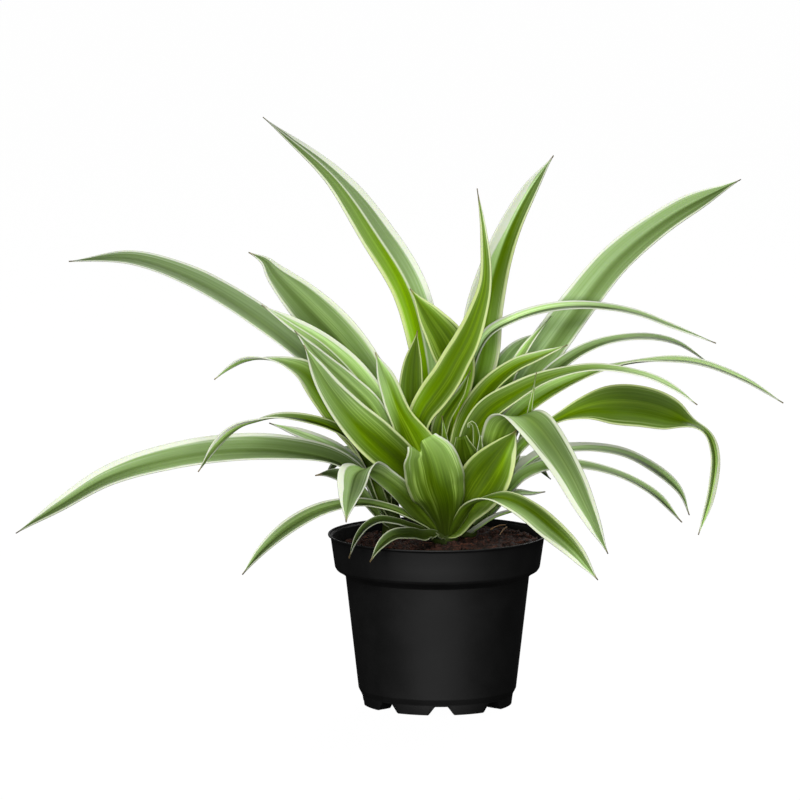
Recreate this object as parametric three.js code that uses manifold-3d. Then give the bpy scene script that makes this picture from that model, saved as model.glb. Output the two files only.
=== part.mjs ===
// A potted spider plant: black nursery pot, soil, four leafy crowns and every large striped leaf.
// Millimetres, +Z up, front towards -Y. The origin is the centre of the plant's footprint, on the floor.
import * as THREE from 'three';
import { mergeVertices } from 'three/addons/utils/BufferGeometryUtils.js';
import Module from 'manifold-3d';

const wasm = await Module();
wasm.setup();

// ---- driving dimensions --------------------------------------------------------------------------
const GAP = 0.3; // clearance between neighbouring pieces

const POT_HEIGHT = 94;
const POT_RADIUS = 60; // at the lip
const POT_WALL = 1.1;
const POT_FLOOR_Z = 5.5; // underside of the raised floor
const POT_FLOOR_THICKNESS = 1.3;
const POT_SIDES = 48;
const POT_CORNER = 1; // slope between floor and wall, inside
const FOOT_WALL = 1.6;
// outer wall from the foot up, as [radius, height]
const POT_OUTLINE = [
  [41.0, 0], [41.6, 5.5], [43.3, 8.8], [50.4, 71], [52.3, 72.8], [55.3, 74.5],
  [56.2, 76], [57.1, 82], [58.6, 92.4], [60.0, 93.2], [60.0, POT_HEIGHT],
];

const NOTCH_COUNT = 8;
const NOTCH_TURN = 2.8; // degrees from the front towards +X
const NOTCH_HEIGHT = 4.7;
const NOTCH_FOOT_WIDTH = 14;
const NOTCH_TOP_WIDTH = 7;
const NOTCH_CORNER = [1, 0.8]; // across and up, where the flank meets the top
const NOTCH_REACH = 8; // how deep the cut goes, past both faces of the wall
const DRAIN_RADIUS = 4;
const DRAIN_RING = 27;
const DRAIN_SIDES = 10;

const SOIL_GAP = 0.5; // to the pot's wall
const SOIL_EDGE_Z = 86.5;
const SOIL_DOME = 3.5; // how much higher the soil stands round the crowns
const SOIL_RISE_RIGHT = 2.2; // higher at the right and back of the lip than at the axis
const SOIL_RISE_BACK = 2.4;
const SOIL_BUMP = 0.9; // height of the soft lumps
const LUMP_WAVES = [[0.41, 0.37], [0.83, -0.71]]; // radians per mm, across and deep
const LUMP_SHIFT = 1;
const LUMP_SMALL = 0.6;
const SOIL_SIDES = 36;
const SOIL_RINGS = 7;

const LEAF_THICKNESS = 0.75;
const TIP_WIDTH = 0.9;
const SEAM = 30; // length of the sheath that stays with the crown
const LEAF_STEP = 13; // length between two cross-sections
const LEAF_STEPS = [3, 13]; // fewest and most of them in a leaf

// ---- the photograph's view -----------------------------------------------------------------------
// Leaf points are read as [across, up, depth]: across and up as seen on the upright plane through the
// pot's axis, depth away from the viewer. A point off that plane moves along the line of sight.
const VIEW_ELEVATION = THREE.MathUtils.degToRad(8);
const VIEW_DISTANCE = 4000;
const VIEW_AIM = new THREE.Vector3(-20.5, 0, 167.7);
const TO_VIEWER = new THREE.Vector3(0, -Math.cos(VIEW_ELEVATION), Math.sin(VIEW_ELEVATION));
const VIEWER = VIEW_AIM.clone().addScaledVector(TO_VIEWER, VIEW_DISTANCE);

// ---- crowns: where each rosette stands in the soil ----------------------------------------------
const CROWNS = {
  front: { x: 4, y: -2, radius: 7.5, top: 128 },
  left: { x: -25, y: 14, radius: 5.5, top: 122 },
  right: { x: 16, y: 13, radius: 6, top: 128 },
  back: { x: 2, y: 32, radius: 7, top: 124 },
};
const CROWN_FOOT_Z = 74;
const CROWN_SHAPE = [[0.8, 74], [1, 78], [1, 92], [0.8, 104]]; // share of its radius, height
const CROWN_NECK = [0.5, 4]; // share of its radius, depth below its top
const CROWN_SIDES = 16;
const CROWN_HOLE_SIDES = 20;

// ---- leaves --------------------------------------------------------------------------------------
// root: height where the leaf leaves its crown's axis. spine: hand-read points from root to tip.
// width: greatest width, or widths at even steps. tilt: turn of the blade about its spine, at even
// steps, 0 when its upper face looks at the viewer and 180 when its underside does. side: used instead
// where a leaf bends over towards the viewer, the way its left edge points, as [across, up, to the
// viewer] at even steps. A leaf with neither lies face up. fold: lift of each half, at even steps.
const BLADE = [0.4, 0.62, 0.86, 1, 0.96, 0.82, 0.58, 0.3, 0];
const FOLD = [48, 30, 18, 12, 10, 8];

const LEAVES = [
  // in front of the front crown
  { name: 'leaf_front_shield', crown: 'front', root: 84,
    width: [6, 8, 12, 19, 25.5, 31, 33, 31.5, 28, 17], tilt: [180], fold: [40, 22, 12, 8],
    spine: [[4.3, 92, -8.5], [4.3, 98, -13], [3.6, 105, -19], [2.3, 112, -24.5], [0.2, 118.5, -28],
      [-1.2, 124, -31], [-3, 131.5, -34], [-5.3, 138.5, -35.5], [-8.6, 145.3, -36]] },
  { name: 'leaf_right_cup', crown: 'front', root: 95, width: [8, 12, 17, 24, 29, 28.5, 22, 11.5, 0],
    tilt: [-8, -8, -14], fold: [40, 26, 20, 12], spine: [[10, 97, -9], [16, 108, -12],
      [25.5, 122, -14], [35, 137, -14], [43.5, 151.5, -12]] },
  { name: 'leaf_low_right_arch', crown: 'front', root: 86,
    width: [5, 6, 7, 8, 10, 11.5, 13, 11.5, 7.5, 0], side: [[0.9, -0.4, 0], [0.85, -0.5, 0],
      [0.3, 0, -1], [0.55, 0.75, -0.35], [0.6, 0.8, 0], [0.65, 0.75, 0], [0.75, 0.65, 0]],
    spine: [[7.5, 94, -10.5], [12.7, 102.5, -17], [16.5, 107.5, -21], [21, 111, -26],
      [27, 112.8, -31], [34, 113.2, -36], [42, 110.8, -41], [51, 105.5, -46], [61, 97.5, -52],
      [75, 84.5, -62], [88, 68, -70]] },
  { name: 'leaf_left_drooping', crown: 'front', root: 90,
    width: [6, 10, 13.5, 13.5, 12.5, 12, 15, 18.5, 16.5, 9, 0],
    side: [[0.7, 0.7, 0], [0.7, 0.7, 0], [0.7, 0.7, 0], [0.7, 0.7, 0], [0.8, 0.6, 0.1], [1, 0.1, 0.2],
      [1, 0, 0], [1, -0.15, 0], [1, -0.2, 0]], fold: [44, 34, 28, 26, 24, 26, 18, 10, 6],
    spine: [[-1, 96.5, -9], [-9.5, 106.5, -14.5], [-18.5, 116, -20], [-26.5, 122.8, -23],
      [-33, 127, -29], [-40, 129, -37], [-45.5, 126, -45], [-48, 117, -50], [-49.5, 107, -53],
      [-50, 100, -55]] },
  { name: 'leaf_low_left_arch', crown: 'front', root: 90,
    width: [6, 8, 9, 10, 11.5, 13, 12.5, 10, 6, 0], tilt: [60, 66, 66, 55, 45, 40],
    spine: [[-5, 96, -8.5], [-14, 101.3, -11.5], [-27, 107, -17], [-43, 110, -22], [-62, 107, -28],
      [-80, 98, -35], [-96, 84.5, -43], [-107, 71, -50]] },
  { name: 'leaf_low_left_small', crown: 'front', root: 90, width: [5, 6, 6, 6, 6, 4, 0],
    tilt: [70, 62, 50, 40], spine: [[-7, 94.5, -13], [-16, 98, -24], [-24, 100.5, -33],
      [-32, 101.3, -39], [-39.5, 97.3, -46], [-45, 89.5, -53], [-48.5, 80, -58]] },
  { name: 'leaf_low_left_withered', crown: 'front', root: 90, width: [6, 9, 10, 10, 9, 6, 0],
    tilt: [70, 60, 50, 35], spine: [[-2, 92, -14], [-8, 92, -27], [-16, 93.2, -40], [-25, 92, -52],
      [-32, 86, -62], [-37, 78, -67]] },

  // rising from the front crown
  { name: 'leaf_left_blade', crown: 'front', root: 99, width: [8, 14, 20, 24, 24, 20, 15, 9, 0],
    tilt: [25, 12, 12, 8], fold: [44, 34, 24, 18, 12],
    spine: [[-2, 106, -4], [-9, 118, -6], [-19, 131, -8], [-33, 144, -11], [-47, 158, -15],
      [-60, 175, -21], [-73, 198, -29]] },
  { name: 'leaf_centre_left', crown: 'front', root: 104, width: [8, 16, 24, 22, 14, 12, 9, 0],
    tilt: [10, 4, 0], spine: [[-1, 116, 0], [-7, 132, 2], [-15, 149, 2], [-22, 163, -1],
      [-27, 177, -5], [-34, 194, -10]] },
  { name: 'leaf_centre_tall', crown: 'front', root: 108,
    width: [8, 9, 10, 14, 18, 17, 15, 11, 7, 5, 2.5, 0], tilt: [5, 0, 0, 10],
    spine: [[-2, 124, 5], [-8, 140, 10], [-11, 152, 12], [-8.5, 161, 12], [-2.5, 170, 12],
      [4.5, 180, 11], [10, 190, 11], [15.5, 200, 11], [20.5, 212, 12], [26, 233, 14], [25, 260, 16],
      [21.5, 284, 19]] },
  { name: 'leaf_centre_narrow', crown: 'front', root: 110, width: [5, 6, 8, 10, 7, 0],
    tilt: [-10, -5], spine: [[4, 124, 9], [0.5, 142, 18], [2.5, 157, 20], [8, 166, 19], [13, 173, 17],
      [18, 184, 16]] },
  { name: 'leaf_upright_left', crown: 'front', root: 108, width: [6, 10, 13, 15, 14, 10, 0],
    tilt: [8, 0], spine: [[-6, 124, 9], [-12, 148, 18], [-14.5, 168, 21], [-14, 184, 22],
      [-11, 206, 24]] },
  { name: 'leaf_short_broad', crown: 'front', root: 106, width: [6, 8, 10, 12, 18, 22, 14, 0],
    tilt: [0], spine: [[4, 124, 14], [7, 150, 28], [10, 172, 32], [10.5, 187, 32], [5, 200, 33],
      [-3, 212, 34], [-15, 229, 35]] },
  { name: 'leaf_right_71', crown: 'front', root: 106, width: [6, 8, 13, 17, 15, 12, 8, 0],
    tilt: [-25, -40, -48, -50], spine: [[9, 120, 9], [12, 138, 16.5], [19, 159, 22], [28, 174, 22],
      [42, 186, 17], [56, 192, 11], [71, 198, 7]] },

  // from the right crown
  { name: 'leaf_right_arch_big', crown: 'right', root: 99,
    width: [7, 10, 14, 18, 20, 20.5, 18.5, 16, 13.5, 8, 0],
    side: [[0.94, -0.35, 0], [0.94, -0.35, 0], [0.94, -0.3, 0], [0.9, 0.1, -0.35], [0.8, 0.5, -0.2],
      [0.8, 0.6, 0], [0.85, 0.52, 0], [0.9, 0.45, 0]], fold: [48, 30, 16, 8, 6, 8, 10, 10],
    spine: [[25.5, 118, 6.5], [29.5, 134, 1], [33, 147.5, -2], [37.5, 155.5, -9], [45, 158.5, -18],
      [53, 154, -29], [64.5, 139.5, -42], [73.5, 124.5, -49], [80.5, 110, -54], [86.5, 97.5, -57],
      [93.5, 82.5, -60]] },
  { name: 'leaf_right_long_142', crown: 'right', root: 104,
    width: [6, 10, 15, 16, 14, 12, 11, 10, 8, 0], tilt: [-10, -15, -40, -68, -70, -62],
    spine: [[20.5, 120, 7.5], [17.5, 140, 10], [26, 158.5, 9.5], [43, 171, 3], [60, 179.5, -3],
      [85, 185, -14], [112, 181.5, -28], [130, 173.5, -36], [142, 165, -40]] },
  { name: 'leaf_right_long_189', crown: 'right', root: 103,
    width: [6, 10, 14, 15, 13, 10, 10, 9, 7, 0],
    tilt: [-20, -26, -32, -40, -50, -66, -84, -70, -64, -62, -60],
    spine: [[29, 121, 10], [33, 143, 15], [45, 160, 14], [62, 172.5, 11], [85, 182.5, 8],
      [110, 188.5, 8], [140, 188.5, 7], [168, 178.5, 5], [189, 166, 3]] },
  { name: 'leaf_right_149', crown: 'right', root: 104, width: [6, 9, 12, 13, 12, 9, 7, 0],
    tilt: [-30, -45, -55, -62, -66], spine: [[32, 120, 16.5], [41, 148, 21.5], [54, 173, 23],
      [72, 190, 24], [90, 199, 26], [112, 202.3, 30], [131, 198.8, 34], [149, 187.5, 38]] },
  { name: 'leaf_right_tall', crown: 'right', root: 105,
    width: [7, 11, 17, 21, 21, 19.5, 17.5, 15, 11, 0], tilt: [-5, -5, -12, -18],
    spine: [[26, 124, 23], [32, 150, 35], [44, 176, 41], [60, 197.5, 44], [78, 222, 45],
      [98, 246, 50], [128, 269.5, 57], [165, 289, 66]] },
  { name: 'leaf_right_inner_narrow', crown: 'right', root: 106, width: [4, 6, 7, 7, 5, 0],
    tilt: [-10, -10], spine: [[29, 124, 20], [33, 150, 28], [38, 176, 31], [47, 195, 34],
      [62, 214, 37]] },
  { name: 'leaf_right_bulge', crown: 'right', root: 97,
    width: [6, 8, 8, 9, 10, 9, 14, 22, 23, 19, 9, 7.5, 7, 5, 0],
    tilt: [-30, -32, -36, -42, -50, -60, -30, -10, -10, -14, -66, -52, -48, -45, -40],
    fold: [44, 30, 20, 12, 8, 8, 16], spine: [[26, 112, 5], [37, 129, 0], [46, 141.5, -5],
      [57, 151, -5], [70, 158.5, -4], [84, 163.5, -4], [100, 164.8, -4], [118, 162.5, -6],
      [134, 156.5, -9], [147, 149.5, -12], [151.5, 138, -15], [150, 118, -19], [143, 93, -22]] },
  { name: 'leaf_right_low_138', crown: 'right', root: 93, width: [6, 9, 11, 12, 11, 10, 8, 0],
    tilt: [-60, -66, -62, -48], spine: [[24, 104, 16], [35, 118, 18], [46, 129, 19], [57, 137, 20],
      [71, 140, 21], [88, 140.5, 21], [105, 136.8, 21], [123, 126.5, 20], [133, 116.5, 19],
      [138, 104, 18]] },
  { name: 'leaf_right_low_134', crown: 'right', root: 91, width: [6, 7, 8, 10, 11, 10, 9.5, 7.5, 0],
    tilt: [-20, -30, -45, -62, -66, -62, -48], spine: [[23, 99, 9], [29, 105, 8], [34.5, 111.5, 7],
      [40, 118.5, 6], [47, 125.5, 5], [58, 130.3, 3], [72, 131.5, 0], [86, 130, -2], [103, 124.5, -5],
      [120, 114.5, -9], [134, 100, -12]] },
  { name: 'leaf_right_low_59', crown: 'right', root: 92, width: [5, 7, 8, 8, 5, 0], tilt: [-60, -60],
    spine: [[26, 103, 18], [35, 111, 22], [43, 116, 25], [52, 116, 28], [59, 117, 30]] },
  { name: 'leaf_right_low_pale', crown: 'right', root: 90, width: [5, 7, 8, 7, 4, 0],
    tilt: [-100, -115], spine: [[23, 97, 3], [31, 102.5, -1], [40, 106, -5], [50, 108, -9]] },

  // from the left crown
  { name: 'leaf_left_twist', crown: 'left', root: 104, width: [6, 9, 13, 16, 18, 16, 9, 6, 0],
    tilt: [30, 25, 20, 18, 20, 36, 72, 118, 130], spine: [[-28, 118, 13], [-39, 138, 12],
      [-52, 156, 9], [-62, 170.5, 6], [-72, 182, 4], [-82, 187.3, 1], [-90, 189.6, -1],
      [-98, 190.2, -3], [-107, 189, -5], [-115, 184.6, -7], [-122, 179, -9]] },
  { name: 'leaf_left_arch_131', crown: 'left', root: 98, width: [6, 9, 11, 12, 11, 10, 10, 9, 6, 0],
    tilt: [40, 50, 60, 62, 66, 92, 128, 140], spine: [[-32, 112, 7], [-39, 131, 1], [-49, 146.5, -5],
      [-60, 153, -9], [-74, 157, -13], [-88, 158, -18], [-99, 155.7, -22], [-110, 152, -26],
      [-120, 144, -31], [-131, 128, -36]] },
  { name: 'leaf_left_long_low', crown: 'left', root: 95, width: [7, 10, 15, 19, 20, 19, 17, 13, 8, 0],
    tilt: [60, 50, 42, 38, 35, 30], spine: [[-33, 106, 12], [-40, 122, 9], [-55, 133.3, 5],
      [-82, 139, 1], [-110, 140, -4], [-145, 135.6, -10], [-180, 125.3, -17], [-207, 109.3, -23],
      [-231, 94, -28]] },
  { name: 'leaf_left_behind', crown: 'left', root: 97, width: [6, 8, 10, 10, 7, 0],
    tilt: [50, 45, 40], spine: [[-32, 110, 19], [-41, 127, 24], [-54, 139, 30], [-72, 148, 37],
      [-92, 155, 44]] },
  { name: 'leaf_left_low_short', crown: 'left', root: 93, width: [5, 7, 9, 10, 8, 0],
    tilt: [60, 45, 35], spine: [[-32, 102, 8], [-40, 113, 2], [-52, 125, -5], [-60, 127, -8],
      [-67, 126, -8]] },
  { name: 'leaf_left_mid_pale', crown: 'left', root: 108, width: [6, 9, 12, 14, 13, 9, 0],
    tilt: [40, 35, 30], spine: [[-24, 124, 6], [-28, 146, 5], [-36, 163, 3], [-50, 177, -1],
      [-64, 190, -6], [-78, 206, -11]] },
  { name: 'leaf_left_folded', crown: 'left', root: 108, width: [6, 9, 14, 17, 16, 12, 8, 0],
    tilt: [25, 20, 15], fold: [48, 40, 36, 30, 22], spine: [[-23, 124, 12], [-27, 146, 11],
      [-35, 166, 11], [-46, 182, 11], [-62, 198, 11], [-80, 210, 10], [-96, 220, 9]] },
  { name: 'leaf_left_upper_broad', crown: 'left', root: 106, width: [7, 11, 17, 23, 27, 25, 15, 0],
    tilt: [5, 5, 10], fold: [48, 36, 30, 26, 20], spine: [[-23, 124, 20], [-25, 150, 25],
      [-35, 176, 29], [-52, 199, 32], [-71, 219, 36], [-88, 236.5, 40], [-94, 244, 43],
      [-103, 249, 44]] },
  { name: 'leaf_left_long_upper', crown: 'left', root: 102,
    width: [6, 9, 13, 17, 19, 19, 18, 15, 10, 0], tilt: [40, 45, 48, 46, 48, 56],
    spine: [[-29, 122, 17], [-36, 146, 22], [-52, 172, 27], [-78, 197, 32], [-104, 217, 37],
      [-135, 235, 42], [-167, 245.5, 48], [-201, 244, 54]] },

  // from the back crown, tall
  { name: 'leaf_top_left_tall', crown: 'back', root: 106,
    width: [7, 11, 15, 18, 20, 20.5, 20, 17, 11, 5.5, 0], tilt: [0, 0, 4, 6],
    spine: [[0, 126, 36], [-3, 160, 42], [-6, 192, 48], [-15, 228, 55], [-33, 258.5, 62],
      [-56, 290, 70], [-95, 323, 82]] },
  { name: 'leaf_upright_right', crown: 'back', root: 106,
    width: [7, 11, 17, 23, 26, 24, 19, 14, 9, 0], tilt: [-6, -4, -4], fold: [48, 36, 34, 34, 30, 24],
    spine: [[6, 126, 37], [14, 158, 44], [23, 190, 48], [26, 218, 52], [36, 254, 58], [49, 281, 64],
      [63, 302, 70]] },
  { name: 'leaf_right_thin_arc', crown: 'back', root: 104, width: [5, 8, 10, 11, 11, 11, 10, 8, 5, 0],
    tilt: [-10, -30, -55, -64, -64, -62, -55], spine: [[8, 124, 33], [14, 156, 38.5], [20, 188, 38.5],
      [28, 203.5, 36], [42, 212, 33], [62, 218, 28], [85, 219.3, 26], [108, 215.5, 22],
      [128, 208.3, 20], [152, 199, 16]] },
  { name: 'leaf_right_inner', crown: 'back', root: 103, width: [6, 9, 13, 14, 11, 0],
    tilt: [-15, -20], spine: [[10, 122, 39], [20, 150, 49], [31, 177, 54], [44, 197, 57],
      [58, 206, 60]] },

  // hidden from the front: they fill the far side and arch away from the viewer
  { name: 'leaf_back_left', crown: 'back', root: 100, width: 20,
    spine: [[-6, 122, 42], [-12, 146, 60], [-20, 158, 90], [-28, 158, 125], [-36, 148, 160]] },
  { name: 'leaf_back_right', crown: 'back', root: 102, width: 22,
    spine: [[7, 122, 46], [13, 150, 66], [23, 165, 94], [34, 168, 130], [44, 160, 168]] },
  { name: 'leaf_back_tall', crown: 'back', root: 107, width: 19,
    spine: [[3, 128, 43], [9, 162, 60], [15, 188, 82], [22, 202, 110], [28, 202, 140]] },
  { name: 'leaf_back_low_right', crown: 'back', root: 95, width: 18,
    spine: [[11, 108, 42], [23, 124, 62], [38, 132, 90], [52, 132, 118], [62, 124, 142]] },
  { name: 'leaf_back_low_left', crown: 'back', root: 95, width: 18,
    spine: [[-7, 108, 42], [-21, 126, 60], [-38, 134, 84], [-52, 134, 110], [-62, 126, 134]] },
  { name: 'leaf_back_low', crown: 'back', root: 94, width: 16,
    spine: [[3, 104, 46], [5, 116, 68], [8, 122, 96], [10, 118, 122]] },
  { name: 'leaf_back_side_right', crown: 'right', root: 96, width: 17,
    spine: [[31, 110, 19], [40, 126, 40], [52, 134, 64], [60, 134, 90], [66, 126, 114]] },
  { name: 'leaf_back_side_left', crown: 'left', root: 99, width: 17,
    spine: [[-28, 114, 24], [-36, 130, 44], [-46, 140, 68], [-54, 141, 94], [-60, 134, 118]] },
];

// young leaves that are still part of their crown
const YOUNG_LEAVES = [
  { name: 'front_young', crown: 'front', root: 112, width: [4, 5, 4, 0], tilt: [0],
    spine: [[4, 128, -1], [4, 145, -4], [2.5, 159, -6]] },
  { name: 'right_young_broad', crown: 'right', root: 112, width: [6, 13, 17, 16, 6], tilt: [180],
    spine: [[18, 124, -2], [15, 136, -9], [13, 147.5, -12]] },
  { name: 'right_young_curled', crown: 'right', root: 112, width: [6, 12, 16, 13, 6, 3, 1],
    tilt: [-6], spine: [[21, 124, 0], [22.5, 136, -5], [21.5, 147, -8], [19.8, 154.5, -10],
      [17.5, 155.5, -11.5], [17, 152.5, -12.5]] },
  { name: 'right_young_small', crown: 'right', root: 114, width: [4, 6, 6, 1], tilt: [0],
    spine: [[24, 130, -5], [23.5, 140, -11], [23.5, 148, -13]] },
  { name: 'right_young_thin', crown: 'right', root: 112, width: [4, 4, 3, 2.5, 0], tilt: [0],
    spine: [[40, 130, 9], [46, 147, 6], [49.5, 157, -2], [51, 165, -11], [54, 183, -15]] },
  { name: 'left_young', crown: 'left', root: 108, width: [4, 6, 5, 0], tilt: [0],
    spine: [[-24, 124, 16], [-24, 136, 17], [-24, 146, 17]] },
  { name: 'back_young', crown: 'back', root: 110, width: [4, 6, 5, 0], tilt: [0],
    spine: [[-1, 126, 32], [-3, 142, 32], [-4, 154, 32]] },
];

// ---- small tools ---------------------------------------------------------------------------------
const WELD = 1e-4; // points closer than this are one point
const UP = new THREE.Vector3(0, 0, 1);

// value of a list read at even steps, on a smooth curve
function along(list, u) {
  const at = (i) => list[Math.min(Math.max(i, 0), list.length - 1)];
  const span = u * (list.length - 1);
  const i = Math.min(Math.floor(span), list.length - 2);
  if (list.length === 1) return list[0];
  const t = span - i;
  const [a, b, c, d] = [at(i - 1), at(i), at(i + 1), at(i + 2)];
  const [leave, arrive] = [(c - a) / 2, (d - b) / 2];
  const square = 3 * (c - b) - 2 * leave - arrive;
  const cube = 2 * (b - c) + leave + arrive;
  return b + t * (leave + t * (square + t * cube));
}

// a reading [across, up, depth] as a place in space, on the viewer's line of sight
function sighted([across, up, depth]) {
  const stretch = 1 + depth / -VIEWER.y;
  return new THREE.Vector3(
    VIEWER.x + (across - VIEWER.x) * stretch,
    depth,
    VIEWER.z + (up - VIEWER.z) * stretch,
  );
}

function solidFrom(points, triangles) {
  const geometry = new THREE.BufferGeometry();
  const places = points.flatMap((p) => p.toArray());
  geometry.setAttribute('position', new THREE.Float32BufferAttribute(places, 3));
  geometry.setIndex(triangles.flat());
  return geometry;
}

function toManifold(geometry) {
  const bare = geometry.clone();
  bare.deleteAttribute('normal');
  bare.deleteAttribute('uv');
  const merged = mergeVertices(bare, WELD);
  return new wasm.Manifold(new wasm.Mesh({
    numProp: 3,
    vertProperties: new Float32Array(merged.attributes.position.array),
    triVerts: new Uint32Array(merged.index.array),
  }));
}

function toGeometry(manifold) {
  const mesh = manifold.getMesh();
  const geometry = new THREE.BufferGeometry();
  geometry.setAttribute('position', new THREE.BufferAttribute(new Float32Array(mesh.vertProperties), 3));
  geometry.setIndex(new THREE.BufferAttribute(new Uint32Array(mesh.triVerts), 1));
  return geometry;
}

// a closed body of revolution about Z from [radius, height] points
function turned(outline, sides) {
  const geometry = new THREE.LatheGeometry(outline.map(([r, z]) => new THREE.Vector2(r, z)), sides);
  return geometry.rotateX(Math.PI / 2);
}

function column(radius, bottom, top, sides, x = 0, y = 0) {
  const geometry = new THREE.CylinderGeometry(radius, radius, top - bottom, sides);
  return geometry.rotateX(Math.PI / 2).translate(x, y, (top + bottom) / 2);
}

// ---- leaves --------------------------------------------------------------------------------------
function spineOf(leaf) {
  const crown = CROWNS[leaf.crown];
  const root = new THREE.Vector3(crown.x, crown.y, leaf.root);
  return new THREE.CatmullRomCurve3([root, ...leaf.spine.map(sighted)], false, 'centripetal');
}

// one cross-section of a blade: left edge, midrib and right edge, on the upper and the lower face
function section(leaf, spine, u) {
  const point = spine.getPointAt(u);
  const tangent = spine.getTangentAt(u);
  const side = new THREE.Vector3();
  if (leaf.tilt) {
    const tilt = THREE.MathUtils.degToRad(along(leaf.tilt, u));
    const across = new THREE.Vector3().crossVectors(TO_VIEWER, tangent).normalize();
    const towards = new THREE.Vector3().crossVectors(tangent, across);
    side.addScaledVector(across, Math.cos(tilt)).addScaledVector(towards, Math.sin(tilt));
  } else if (leaf.side) {
    const [across, up, near] = [0, 1, 2].map((k) => along(leaf.side.map((way) => way[k]), u));
    side.set(across, 0, up).addScaledVector(TO_VIEWER, near);
    side.addScaledVector(tangent, -side.dot(tangent)).normalize();
  } else {
    side.crossVectors(UP, tangent).normalize();
  }
  const normal = new THREE.Vector3().crossVectors(tangent, side);
  const widths = Array.isArray(leaf.width) ? leaf.width : BLADE.map((share) => share * leaf.width);
  const half = Math.max(along(widths, u), TIP_WIDTH) / 2;
  const fold = THREE.MathUtils.degToRad(along(leaf.fold ?? FOLD, u));
  const lift = normal.clone().multiplyScalar(half * Math.sin(fold));
  const left = point.clone().addScaledVector(side, half * Math.cos(fold)).add(lift);
  const right = point.clone().addScaledVector(side, -half * Math.cos(fold)).add(lift);
  const skin = normal.multiplyScalar(LEAF_THICKNESS / 2 / Math.cos(fold));
  return [left, point, right].map((p) => p.clone().add(skin))
    .concat([right, point, left].map((p) => p.clone().sub(skin)));
}

// the stretch of a leaf between two lengths along its spine, in mm; both faces split alike
function blade(leaf, from, to) {
  const spine = spineOf(leaf);
  const length = spine.getLength();
  const end = Math.min(to, length);
  const steps = THREE.MathUtils.clamp(Math.round((end - from) / LEAF_STEP), ...LEAF_STEPS);
  const points = [];
  for (let i = 0; i <= steps; i++) {
    points.push(...section(leaf, spine, Math.min(1, (from + ((end - from) * i) / steps) / length)));
  }
  const triangles = [[0, 5, 1], [5, 4, 1], [1, 4, 2], [4, 3, 2]];
  for (let i = 0; i < steps; i++) {
    for (let k = 0; k < 6; k++) {
      const [a, b] = [i * 6 + k, i * 6 + ((k + 1) % 6)];
      const [c, d] = [a + 6, b + 6];
      triangles.push(...(k < 3 ? [[a, b, d], [a, d, c]] : [[a, b, c], [b, d, c]]));
    }
  }
  const last = steps * 6;
  triangles.push([last, last + 1, last + 5], [last + 5, last + 1, last + 4]);
  triangles.push([last + 1, last + 2, last + 4], [last + 4, last + 2, last + 3]);
  return solidFrom(points, triangles);
}

// ---- the pieces ----------------------------------------------------------------------------------
const CUT_SLACK = 1; // how far a cut runs past the body it cuts
const POT_FLOOR_TOP = POT_FLOOR_Z + POT_FLOOR_THICKNESS;
// inner wall from just above the floor up; soil fills it as far as its shoulder
const WALL_INSIDE = POT_OUTLINE.slice(2).map(([r, z]) => [r - POT_WALL, z]);
const FILLED = WALL_INSIDE.length - 3;

function potGeometry() {
  const [footRadius] = POT_OUTLINE[0];
  const footInside = footRadius - FOOT_WALL;
  const lining = WALL_INSIDE.slice(1).reverse();
  const [lowRadius] = WALL_INSIDE[0];
  const outline = [
    [0, POT_FLOOR_Z], [footInside, POT_FLOOR_Z], [footInside, 0], ...POT_OUTLINE, ...lining,
    [lowRadius, POT_FLOOR_TOP + POT_CORNER], [lowRadius - POT_CORNER, POT_FLOOR_TOP], [0, POT_FLOOR_TOP],
  ];
  let pot = toManifold(turned(outline, POT_SIDES));

  const [flank, drop] = NOTCH_CORNER;
  const half = [
    [NOTCH_FOOT_WIDTH / 2, -CUT_SLACK], [NOTCH_FOOT_WIDTH / 2, 0],
    [NOTCH_TOP_WIDTH / 2 + flank, NOTCH_HEIGHT - drop], [NOTCH_TOP_WIDTH / 2, NOTCH_HEIGHT],
  ];
  const mirrored = half.map(([x, z]) => [-x, z]).reverse();
  const notch = new THREE.Shape([...half, ...mirrored].map(([x, z]) => new THREE.Vector2(x, z)));
  for (let i = 0; i < NOTCH_COUNT; i++) {
    const turn = THREE.MathUtils.degToRad(NOTCH_TURN + (i * 360) / NOTCH_COUNT);
    const cutter = new THREE.ExtrudeGeometry(notch, { depth: NOTCH_REACH, bevelEnabled: false });
    cutter.rotateX(Math.PI / 2).translate(0, -(footRadius - NOTCH_REACH / 2), 0).rotateZ(turn);
    pot = pot.subtract(toManifold(cutter));
    const spot = [Math.sin(turn) * DRAIN_RING, -Math.cos(turn) * DRAIN_RING];
    const [below, above] = [POT_FLOOR_Z - CUT_SLACK, POT_FLOOR_TOP + CUT_SLACK];
    pot = pot.subtract(toManifold(column(DRAIN_RADIUS, below, above, DRAIN_SIDES, ...spot)));
  }
  return toGeometry(pot);
}

// soil height: a low dome with soft lumps
function soilHeight(x, y) {
  const share = Math.hypot(x, y) / POT_RADIUS;
  const [wide, small] = LUMP_WAVES;
  const swell = Math.sin(x * wide[0] + LUMP_SHIFT) * Math.cos(y * wide[1]);
  const lumps = swell + LUMP_SMALL * Math.sin(x * small[0] + y * small[1]);
  const slope = (x * SOIL_RISE_RIGHT + y * SOIL_RISE_BACK) / POT_RADIUS;
  return SOIL_EDGE_Z + SOIL_DOME * (1 - share * share) + slope + SOIL_BUMP * lumps;
}

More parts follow.
